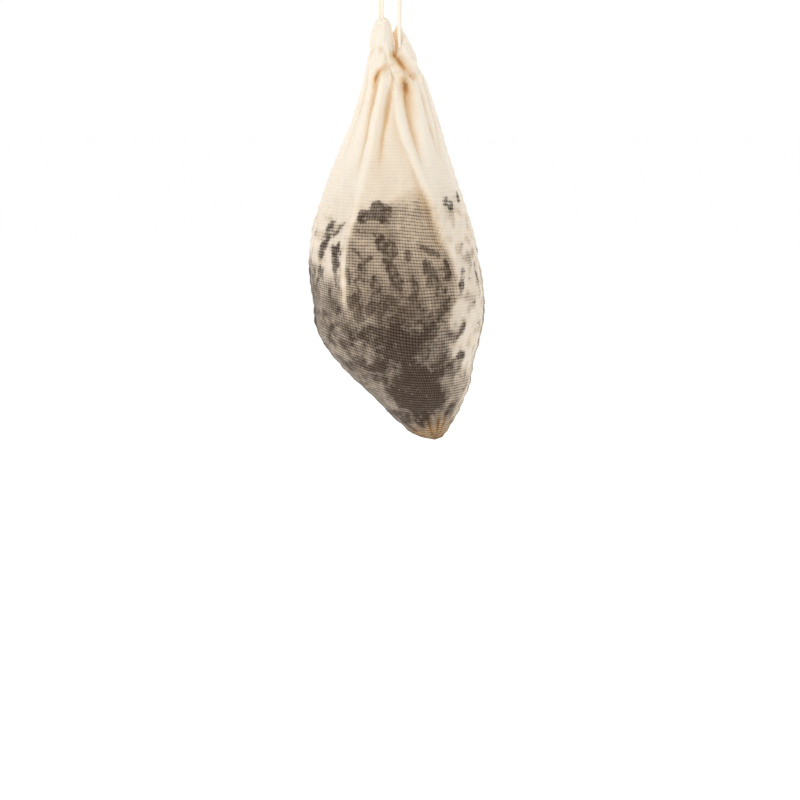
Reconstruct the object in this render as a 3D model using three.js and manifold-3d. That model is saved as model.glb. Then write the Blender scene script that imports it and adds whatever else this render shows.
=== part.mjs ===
import * as THREE from 'three';
import { mergeVertices } from 'three/addons/utils/BufferGeometryUtils.js';
import Module from 'manifold-3d';

// Cotton drawstring bag full of soaked tea, hanging by its two taut drawstrings.
// Millimetres, +Z up. The origin is the point where the two knots are held, and
// "drop" is the distance below it. -Y is the front and +X is the side of the low corner.

// Cloth
const clothThickness = 0.5;
const cornerFill = 1.8; // solid cloth where the seams meet in the low corner
const casingHeight = 8.0; // the folded hem that the strings run in
const casingThickness = 4.0; // the hem gathered round both strings
const casingLedge = 0.8; // height in which the hem thins to one layer
const mouthGap = 2.0; // what stays open between the drawn-up ears
const pleatCount = 12;
const pleatDepth = 0.7;
const pleatEndDrop = 80; // the pleats have run out here

// Rim of the mouth: an ear on each side, where the strings leave, and a dip front and back
const rim = { leftEar: 16.5, rightEar: 18.5, front: 31, back: 22 };
const rimSharpness = 6; // how narrow the dips are between the ears

// Outline of the hanging bag, top to bottom. Depth is from the middle to the front or back.
const outline = [
  { drop: 15.5, left: -4.1, right: 4.1, depth: 4.0 }, // ears
  { drop: 20.5, left: -4.9, right: 5.0, depth: 5.4 },
  { drop: 27.0, left: -5.9, right: 6.9, depth: 7.1 },
  { drop: 33.5, left: -7.4, right: 9.7, depth: 8.2 }, // neck
  { drop: 44.5, left: -10.7, right: 13.3, depth: 10.4 },
  { drop: 61.0, left: -17.2, right: 18.2, depth: 13.8 }, // shoulder
  { drop: 78.0, left: -22.5, right: 23.4, depth: 18.2 },
  { drop: 92.0, left: -22.3, right: 26.1, depth: 21.0 }, // belly
  { drop: 105.6, left: -19.9, right: 25.4, depth: 19.8 }, // bottom seam starts on the left
  { drop: 116.0, left: -12.0, right: 23.2, depth: 15.8 },
  { drop: 127.0, left: -1.6, right: 19.5, depth: 9.5 },
  { drop: 134.0, left: 7.0, right: 15.7, depth: 3.8 },
  { drop: 136.2, left: 12.0, right: 13.8, depth: 0.7 }, // low corner
];

// Tea
const leafClearance = 0.35;
const leafTopDrop = 70; // where the tea meets the cloth
const leafCrown = 4; // how far its top is heaped above that
const leafBottomMargin = 4; // from the low corner up to the last section of tea

// Strings and knots
const stringDiameter = 0.9;
const stringClearance = 0.3;
const stringSides = 8;
const stringSteps = 48;
const knotDiameter = 3.8;
const knotHeight = 4.6;
const tailLength = 7;
const tailSplay = 1.6;

// Each string leaves its knot, enters its own ear, runs round the mouth inside the hem
// and comes back up to the same knot. The two change places front and back.
const leftRoute = [
  [-2.1, -0.6, -2.6],
  [-2.1, -0.6, -7.0],
  [-2.1, -0.6, -11.5],
  [-2.1, -0.7, -15.0],
  [-2.2, -1.1, -17.8],
  [-2.2, -1.8, -20.8],
  [-2.1, -2.8, -23.8],
  [-1.6, -3.9, -27.6],
  [-1.1, -4.6, -30.7],
  [-0.6, -5.1, -32.5],
  [0.5, -5.4, -33.7],
  [1.9, -5.4, -33.8],
  [3.1, -5.0, -32.7],
  [3.7, -4.2, -30.6],
  [3.9, -3.2, -27.6],
  [3.9, -2.0, -24.9],
  [4.0, -0.9, -23.4],
  [4.0, 0.1, -22.9],
  [3.8, 1.2, -23.0],
  [3.4, 2.5, -23.6],
  [2.8, 3.8, -24.3],
  [1.6, 4.9, -24.9],
  [0.1, 5.3, -25.0],
  [-1.3, 4.9, -24.4],
  [-2.2, 4.0, -22.9],
  [-2.7, 2.9, -20.9],
  [-2.9, 1.6, -18.5],
  [-2.9, 0.9, -15.8],
  [-2.9, 0.6, -12.0],
  [-2.9, 0.6, -7.0],
  [-2.9, 0.6, -2.6],
];
const rightRoute = [
  [2.4, -0.7, -2.6],
  [2.4, -0.7, -8.0],
  [2.4, -0.7, -13.0],
  [2.4, -0.8, -16.6],
  [2.4, -1.4, -19.4],
  [2.5, -2.3, -22.1],
  [2.7, -3.5, -25.0],
  [3.0, -4.9, -28.2],
  [3.1, -5.9, -31.0],
  [2.7, -6.6, -33.2],
  [1.5, -7.0, -34.5],
  [0.0, -7.0, -34.5],
  [-1.3, -6.6, -33.2],
  [-2.0, -5.9, -31.0],
  [-2.6, -5.0, -28.0],
  [-3.1, -3.8, -24.9],
  [-3.5, -2.3, -22.5],
  [-3.7, -1.2, -21.2],
  [-3.7, 0.0, -20.8],
  [-3.5, 1.1, -21.3],
  [-3.1, 2.0, -22.6],
  [-2.6, 2.9, -24.2],
  [-1.5, 3.7, -25.3],
  [-0.1, 4.0, -25.7],
  [1.1, 3.7, -25.2],
  [2.0, 2.9, -23.8],
  [2.5, 2.1, -21.8],
  [2.7, 1.3, -19.3],
  [2.8, 0.9, -16.6],
  [2.8, 0.7, -13.0],
  [2.8, 0.7, -8.0],
  [2.8, 0.7, -2.6],
];

// Fineness of the meshes
const around = 48;
const casingRows = 4;
const bodyRows = 21;
const crowding = 0.4; // how much closer the rows lie towards the low corner
const levelShare = 0.3; // share of the way down where the rows are level
const crownRings = 4;
const knotRows = 5;
const knotSides = 14;
const tailSteps = 4;
const probe = 0.01; // step for measuring a slope

const wasm = await Module();
wasm.setup();

const mix = THREE.MathUtils.lerp;

// Value of one column of the outline at a drop, along a smooth curve through its points
function outlineAt(drop, column) {
  const last = outline.length - 1;
  const slope = (i) => {
    const a = outline[Math.max(i - 1, 0)];
    const b = outline[Math.min(i + 1, last)];
    return (b[column] - a[column]) / (b.drop - a.drop);
  };
  const inside = THREE.MathUtils.clamp(drop, outline[0].drop, outline[last].drop);
  let i = 0;
  while (i < last - 1 && outline[i + 1].drop < inside) {
    i += 1;
  }
  const [from, to] = [outline[i], outline[i + 1]];
  const span = to.drop - from.drop;
  const t = (inside - from.drop) / span;
  const ease = t * t * (3 - 2 * t);
  const lead = t * (1 - t) * (1 - t) * slope(i) * span;
  const tail = t * t * (t - 1) * slope(i + 1) * span;
  return mix(from[column], to[column], ease) + lead + tail;
}

const tipDrop = outline[outline.length - 1].drop;

function rimDrop(angle) {
  const ear = mix(rim.leftEar, rim.rightEar, (1 + Math.cos(angle)) / 2);
  const dip = Math.sin(angle) < 0 ? rim.front : rim.back;
  return mix(ear, dip, Math.abs(Math.sin(angle)) ** rimSharpness);
}

// Pleats start under the hem and run out on the belly
function pleatAt(angle, drop) {
  const start = rimDrop(angle) + casingHeight;
  const rise = THREE.MathUtils.smoothstep(drop, start, start + casingHeight);
  const fade = 1 - THREE.MathUtils.smoothstep(drop, start + casingHeight, pleatEndDrop);
  return pleatDepth * rise * fade * Math.cos(pleatCount * angle);
}

// Point of the bag's outside, or of a section drawn in from it by an inset
function sectionPoint(angle, drop, inset = 0) {
  const left = outlineAt(drop, 'left');
  const right = outlineAt(drop, 'right');
  const out = pleatAt(angle, drop);
  const least = inset > 0 ? mouthGap / 2 : 0;
  const halfWidth = Math.max((right - left) / 2 - inset, least);
  const halfDepth = Math.max(outlineAt(drop, 'depth') - inset, least);
  const x = (left + right) / 2 + (halfWidth + out) * Math.cos(angle);
  const y = (halfDepth + out) * Math.sin(angle);
  return new THREE.Vector3(x, y, -drop);
}

function outwardNormal(angle, drop) {
  const above = Math.max(drop - probe, outline[0].drop);
  const below = Math.min(drop + probe, tipDrop);
  const round = sectionPoint(angle + probe, drop).sub(sectionPoint(angle - probe, drop));
  const down = sectionPoint(angle, below).sub(sectionPoint(angle, above));
  return down.cross(round).normalize();
}

// Point a given depth of cloth in from the outside
function insidePoint(angle, drop, depth) {
  return sectionPoint(angle, drop).addScaledVector(outwardNormal(angle, drop), -depth);
}

// Closed body from rings with the same number of points each, and a point at either end
function closedBody(rings, startPoint, endPoint) {
  const positions = [];
  const index = [];
  const count = rings[0].length;
  const push = (point) => positions.push(point.x, point.y, point.z) / 3 - 1;
  const starts = rings.map((ring) => {
    const first = positions.length / 3;
    ring.forEach(push);
    return first;
  });
  for (let row = 0; row + 1 < rings.length; row += 1) {
    for (let i = 0; i < count; i += 1) {
      const next = (i + 1) % count;
      const [a, b] = [starts[row] + i, starts[row] + next];
      const [c, d] = [starts[row + 1] + i, starts[row + 1] + next];
      index.push(a, b, c, b, d, c);
    }
  }
  const startIndex = push(startPoint);
  const endIndex = push(endPoint);
  for (let i = 0; i < count; i += 1) {
    const next = (i + 1) % count;
    index.push(startIndex, starts[0] + next, starts[0] + i);
    const lastStart = starts[rings.length - 1];
    index.push(endIndex, lastStart + i, lastStart + next);
  }
  const geometry = new THREE.BufferGeometry();
  geometry.setAttribute('position', new THREE.Float32BufferAttribute(positions, 3));
  geometry.setIndex(index);
  return geometry;
}

function ring(pointAt) {
  return Array.from({ length: around }, (_, i) => pointAt((2 * Math.PI * i) / around));
}

function centreOf(points) {
  const sum = points.reduce((total, point) => total.add(point), new THREE.Vector3());
  return sum.divideScalar(points.length);
}

function toSolid(geometry) {
  const plain = geometry.clone();
  plain.deleteAttribute('normal');
  plain.deleteAttribute('uv');
  const merged = mergeVertices(plain);
  const mesh = new wasm.Mesh({
    numProp: 3,
    vertProperties: Float32Array.from(merged.attributes.position.array),
    triVerts: Uint32Array.from(merged.index.array),
  });
  return new wasm.Manifold(mesh);
}

function toGeometry(solid) {
  const mesh = solid.getMesh();
  const geometry = new THREE.BufferGeometry();
  geometry.setAttribute('position', new THREE.Float32BufferAttribute(mesh.vertProperties, 3));
  geometry.setIndex(Array.from(mesh.triVerts));
  return geometry;
}

function routeCurve(route) {
  return new THREE.CatmullRomCurve3(route.map((point) => new THREE.Vector3(...point)));
}

function tube(curve, diameter, steps) {
  const corners = Array.from({ length: stringSides }, (_, i) => {
    const turn = (2 * Math.PI * i) / stringSides;
    return new THREE.Vector2((diameter / 2) * Math.cos(turn), (diameter / 2) * Math.sin(turn));
  });
  return new THREE.ExtrudeGeometry(new THREE.Shape(corners), { extrudePath: curve, steps });
}

// Rows of the cloth under its casing, as shares of the way down to the low corner
const bodyShares = Array.from({ length: bodyRows + 1 }, (_, row) => {
  const u = row / bodyRows;
  return u * (1 + crowding * (1 - u));
});

// Drop of such a row: it follows the rim at first and is level under the neck
function bodyDrop(angle, share) {
  const level = THREE.MathUtils.smoothstep(share, 0, levelShare);
  const start = mix(rimDrop(angle), rim.back, level) + casingHeight + casingLedge;
  return mix(start, tipDrop, share);
}

function bodyRing(share, depth) {
  return ring((angle) => insidePoint(angle, bodyDrop(angle, share), depth));
}

// Cloth: outside from the corner up to the rim, over it, and down the inside again
function clothRings() {
  const hemDrops = Array.from({ length: casingRows + 1 }, (_, row) => (
    (angle) => rimDrop(angle) + (casingHeight * row) / casingRows
  ));
  const hemOutside = hemDrops.map((dropAt) => (
    ring((angle) => sectionPoint(angle, dropAt(angle)))
  ));
  const hemInside = hemDrops.map((dropAt) => (
    ring((angle) => sectionPoint(angle, dropAt(angle), casingThickness))
  ));
  const clothOutside = bodyShares.map((share) => (
    ring((angle) => sectionPoint(angle, bodyDrop(angle, share)))
  ));
  const clothInside = bodyShares.slice(0, -1).map((share) => bodyRing(share, clothThickness));
  const innerEnd = ring((angle) => insidePoint(angle, tipDrop - cornerFill, clothThickness));
  return {
    outside: [...hemOutside, ...clothOutside],
    inside: [...hemInside, ...clothInside, innerEnd],
  };
}

function clothBag() {
  const { outside, inside } = clothRings();
  const rings = [...outside.reverse(), ...inside];
  const body = closedBody(rings, centreOf(rings[0]), centreOf(rings[rings.length - 1]));
  const boreDiameter = stringDiameter + 2 * stringClearance;
  let cloth = toSolid(body);
  for (const route of [leftRoute, rightRoute]) {
    cloth = cloth.subtract(toSolid(tube(routeCurve(route), boreDiameter, stringSteps)));
  }
  return toGeometry(cloth);
}

// Tea: one lump that fills the bag, heaped on top. Its rows are the cloth's own, a
// clearance further in.
function teaLeaves() {
  const depth = clothThickness + leafClearance;
  const filled = bodyShares.filter((share) => {
    const drop = bodyDrop(0, share);
    return drop >= leafTopDrop && drop <= tipDrop - leafBottomMargin;
  });
  const rings = filled.reverse().map((share) => bodyRing(share, depth));
  const edge = rings[rings.length - 1];
  const middle = centreOf(edge);
  for (let step = 1; step < crownRings; step += 1) {
    const share = step / crownRings;
    const lift = leafCrown * (1 - (1 - share) ** 2);
    rings.push(edge.map((point) => {
      const inward = point.clone().lerp(middle, share);
      inward.z += lift;
      return inward;
    }));
  }
  const crown = middle.clone();
  crown.z += leafCrown;
  return closedBody(rings, centreOf(rings[0]), crown);
}

// Knot: a tight barrel of both ends, with its two cut tails standing above it
function knot(route) {
  const ends = [route[0], route[route.length - 1]];
  const [x, y] = [0, 1].map((axis) => (ends[0][axis] + ends[1][axis]) / 2);
  const profile = new THREE.Path();
  const [radius, half] = [knotDiameter / 2, knotHeight / 2];
  profile.moveTo(0, -half);
  profile.absellipse(0, 0, radius, half, -Math.PI / 2, Math.PI / 2, false);
  const barrel = new THREE.LatheGeometry(profile.getPoints(knotRows), knotSides);
  barrel.rotateX(Math.PI / 2);
  barrel.translate(x, y, 0);
  let solid = toSolid(barrel);
  for (const side of [-1, 1]) {
    const foot = new THREE.Vector3(x + side * stringDiameter, y, half / 2);
    const bend = foot.clone().add(new THREE.Vector3(0, 0, tailLength / 2));
    const lean = new THREE.Vector3((side * tailSplay) / 2, side * tailSplay, tailLength);
    const end = foot.clone().add(lean);
    const curve = new THREE.QuadraticBezierCurve3(foot, bend, end);
    solid = solid.add(toSolid(tube(curve, stringDiameter, tailSteps)));
  }
  return toGeometry(solid);
}

const cream = new THREE.MeshStandardMaterial({ color: 0xf3e6d2, roughness: 0.9, metalness: 0 });
const cordCream = new THREE.MeshStandardMaterial({ color: 0xf7efe2, roughness: 0.85, metalness: 0 });
const wetLeaf = new THREE.MeshStandardMaterial({ color: 0x2c1f19, roughness: 0.5, metalness: 0 });

function piece(name, geometry, material) {
  const mesh = new THREE.Mesh(geometry, material);
  mesh.name = name;
  return mesh;
}

const bag = new THREE.Group();
bag.add(piece('cloth_bag', clothBag(), cream));
bag.add(piece('tea_leaves', teaLeaves(), wetLeaf));
bag.add(piece('drawstring_left', tube(routeCurve(leftRoute), stringDiameter, stringSteps), cordCream));
bag.add(piece('drawstring_right', tube(routeCurve(rightRoute), stringDiameter, stringSteps), cordCream));
bag.add(piece('knot_left', knot(leftRoute), cordCream));
bag.add(piece('knot_right', knot(rightRoute), cordCream));

export default bag;
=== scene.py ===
"""Cotton tea filter bag: a muslin drawstring bag of soaked tea, hanging by its two cords."""
import math
import random

import bmesh
import bpy
import numpy as np
from mathutils import Matrix, Vector, noise
from mathutils.bvhtree import BVHTree


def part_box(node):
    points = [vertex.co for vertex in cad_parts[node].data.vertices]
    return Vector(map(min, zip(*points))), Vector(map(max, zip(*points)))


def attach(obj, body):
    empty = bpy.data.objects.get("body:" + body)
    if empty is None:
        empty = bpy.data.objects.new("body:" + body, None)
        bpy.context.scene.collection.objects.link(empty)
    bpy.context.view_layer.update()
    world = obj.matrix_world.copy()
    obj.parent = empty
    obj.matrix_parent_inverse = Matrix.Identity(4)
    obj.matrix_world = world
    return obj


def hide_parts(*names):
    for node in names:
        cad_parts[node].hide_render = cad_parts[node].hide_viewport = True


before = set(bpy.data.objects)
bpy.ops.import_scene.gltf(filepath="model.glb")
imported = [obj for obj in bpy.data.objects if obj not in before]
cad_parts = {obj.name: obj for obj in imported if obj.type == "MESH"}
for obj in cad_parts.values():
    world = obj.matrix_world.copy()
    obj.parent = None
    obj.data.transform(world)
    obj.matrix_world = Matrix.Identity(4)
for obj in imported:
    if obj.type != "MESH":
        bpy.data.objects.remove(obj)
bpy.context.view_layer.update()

bl_info = {
    "name": "Cotton tea filter bag",
    "version": (1, 0, 0),
    "blender": (4, 5, 0),
    "location": "3D View > Sidebar > Tea bag",
    "description": "Builds a filled muslin drawstring bag around its packed solids",
    "category": "Add Mesh",
}

MM = 0.001  # metres in a millimetre
SEED = 41
TIP_DROP = -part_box("cloth_bag")[0].z / MM  # millimetres below the hold point

# The camera looks at a point, in millimetres, from a distance in metres
CAMERA_TARGET = (2.73, 0, -124.36)
CAMERA_DISTANCE = 0.480
CAMERA_RISE = 12.2  # degrees above the level
CAMERA_LENS = 74.75
CAMERA_SENSOR = 36
CAMERA_NEAR = 0.01
FLOOR_SIZE = 8
FLOOR_SHADE = (0.97, 0.97, 0.97, 1)
FLOOR_ROUGHNESS = 0.7
SKY_SHADE = (1, 1, 1, 1)
SKY_STRENGTH = 1.03
# Soft lamps: name, place and size in metres, and power in watts
LAMPS = (
    ("key", (-0.45, -0.5, 0.25), 0.35, 0.9),
    ("back_light", (0.1, 0.6, 0.2), 0.6, 1.5),
)

# Waves per metre of each noise in the materials
WANDER_WAVES = 90.0
DRIFT_WAVES = 260.0
SLUB_WAVES = 700.0
PATCH_WAVES = 150.0
GRAIN_WAVES = 620.0
TONE_WAVES = 55.0
GLINT_WAVES = 1300.0
FIBRE_WAVES = 2400.0
WORN_WAVES = 120.0
LEAF_TONE_WAVES = 160.0
VEIN_WAVES = 900.0

# Where each use of the shape's own noise starts in it, so that no two look alike
CREASE_NOISE = 51.0
BROAD_LUMP_NOISE = 3.7
SMALL_LUMP_NOISE = 11.3
WOBBLE_NOISE = 21.0
PATCH_NOISE = 35.0
STREAK_NOISE = 63.0

# Routes of the two cords in millimetres, the same points as in the construction
LEFT_ROUTE = [
    (-2.1, -0.6, -2.6), (-2.1, -0.6, -7.0), (-2.1, -0.6, -11.5), (-2.1, -0.7, -15.0),
    (-2.2, -1.1, -17.8), (-2.2, -1.8, -20.8), (-2.1, -2.8, -23.8), (-1.6, -3.9, -27.6),
    (-1.1, -4.6, -30.7), (-0.6, -5.1, -32.5), (0.5, -5.4, -33.7), (1.9, -5.4, -33.8),
    (3.1, -5.0, -32.7), (3.7, -4.2, -30.6), (3.9, -3.2, -27.6), (3.9, -2.0, -24.9),
    (4.0, -0.9, -23.4), (4.0, 0.1, -22.9), (3.8, 1.2, -23.0), (3.4, 2.5, -23.6),
    (2.8, 3.8, -24.3), (1.6, 4.9, -24.9), (0.1, 5.3, -25.0), (-1.3, 4.9, -24.4),
    (-2.2, 4.0, -22.9), (-2.7, 2.9, -20.9), (-2.9, 1.6, -18.5), (-2.9, 0.9, -15.8),
    (-2.9, 0.6, -12.0), (-2.9, 0.6, -7.0), (-2.9, 0.6, -2.6),
]
RIGHT_ROUTE = [
    (2.4, -0.7, -2.6), (2.4, -0.7, -8.0), (2.4, -0.7, -13.0), (2.4, -0.8, -16.6),
    (2.4, -1.4, -19.4), (2.5, -2.3, -22.1), (2.7, -3.5, -25.0), (3.0, -4.9, -28.2),
    (3.1, -5.9, -31.0), (2.7, -6.6, -33.2), (1.5, -7.0, -34.5), (0.0, -7.0, -34.5),
    (-1.3, -6.6, -33.2), (-2.0, -5.9, -31.0), (-2.6, -5.0, -28.0), (-3.1, -3.8, -24.9),
    (-3.5, -2.3, -22.5), (-3.7, -1.2, -21.2), (-3.7, 0.0, -20.8), (-3.5, 1.1, -21.3),
    (-3.1, 2.0, -22.6), (-2.6, 2.9, -24.2), (-1.5, 3.7, -25.3), (-0.1, 4.0, -25.7),
    (1.1, 3.7, -25.2), (2.0, 2.9, -23.8), (2.5, 2.1, -21.8), (2.7, 1.3, -19.3),
    (2.8, 0.9, -16.6), (2.8, 0.7, -13.0), (2.8, 0.7, -8.0), (2.8, 0.7, -2.6),
]
# The cords and knots are swept in steps of so many millimetres, with so many sides
CORD_STEP = 0.22
CORD_SIDES = 16
CORD_PLIES = 3
CORD_TWIST = 2.2  # millimetres along the cord for a whole turn of its plies
PLY_SHARE = 0.26  # how far the plies stand out of the cord, as a share of its radius
KNOT_STEP = 0.16
KNOT_SIDES = 14
KNOT_RADIUS = 1.42  # millimetres to a strand's middle
KNOT_TURNS = 1.35  # of each strand round the knot
KNOT_POINTS = 14
TAIL_FIBRES = 13
FIBRE_RADIUS = 0.055

# Outline of the cloth in millimetres: drop, left, right, front depth, back depth
OUTLINE = [
    (15.0, -3.7, 3.2, 4.0, 4.0),
    (18.9, -4.2, 3.8, 4.9, 4.9),
    (22.2, -4.9, 4.7, 5.8, 5.9),
    (25.4, -5.4, 5.7, 6.7, 6.8),
    (28.6, -6.4, 7.2, 7.4, 7.6),
    (33.5, -7.4, 9.6, 8.2, 8.4),
    (38.5, -8.8, 11.3, 9.1, 9.3),
    (44.5, -10.7, 13.3, 10.4, 10.6),
    (51.1, -13.2, 15.1, 11.6, 11.9),
    (61.1, -17.2, 18.2, 13.8, 14.2),
    (71.2, -20.5, 21.6, 16.5, 16.8),
    (78.0, -22.4, 23.5, 18.3, 18.6),
    (84.9, -22.6, 25.0, 19.9, 20.2),
    (92.0, -22.1, 26.0, 21.0, 20.8),
    (98.6, -21.1, 26.1, 20.9, 20.4),
    (105.6, -19.7, 25.3, 19.8, 19.2),
    (112.6, -14.9, 23.6, 17.3, 17.0),
    (119.6, -8.4, 22.3, 14.0, 13.6),
    (126.7, -1.6, 19.6, 9.6, 9.8),
    (131.5, 3.6, 17.2, 6.0, 6.2),
    (134.6, 7.4, 15.2, 3.4, 3.4),
    (136.2, 11.8, 13.9, 0.7, 0.7),
]

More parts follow.
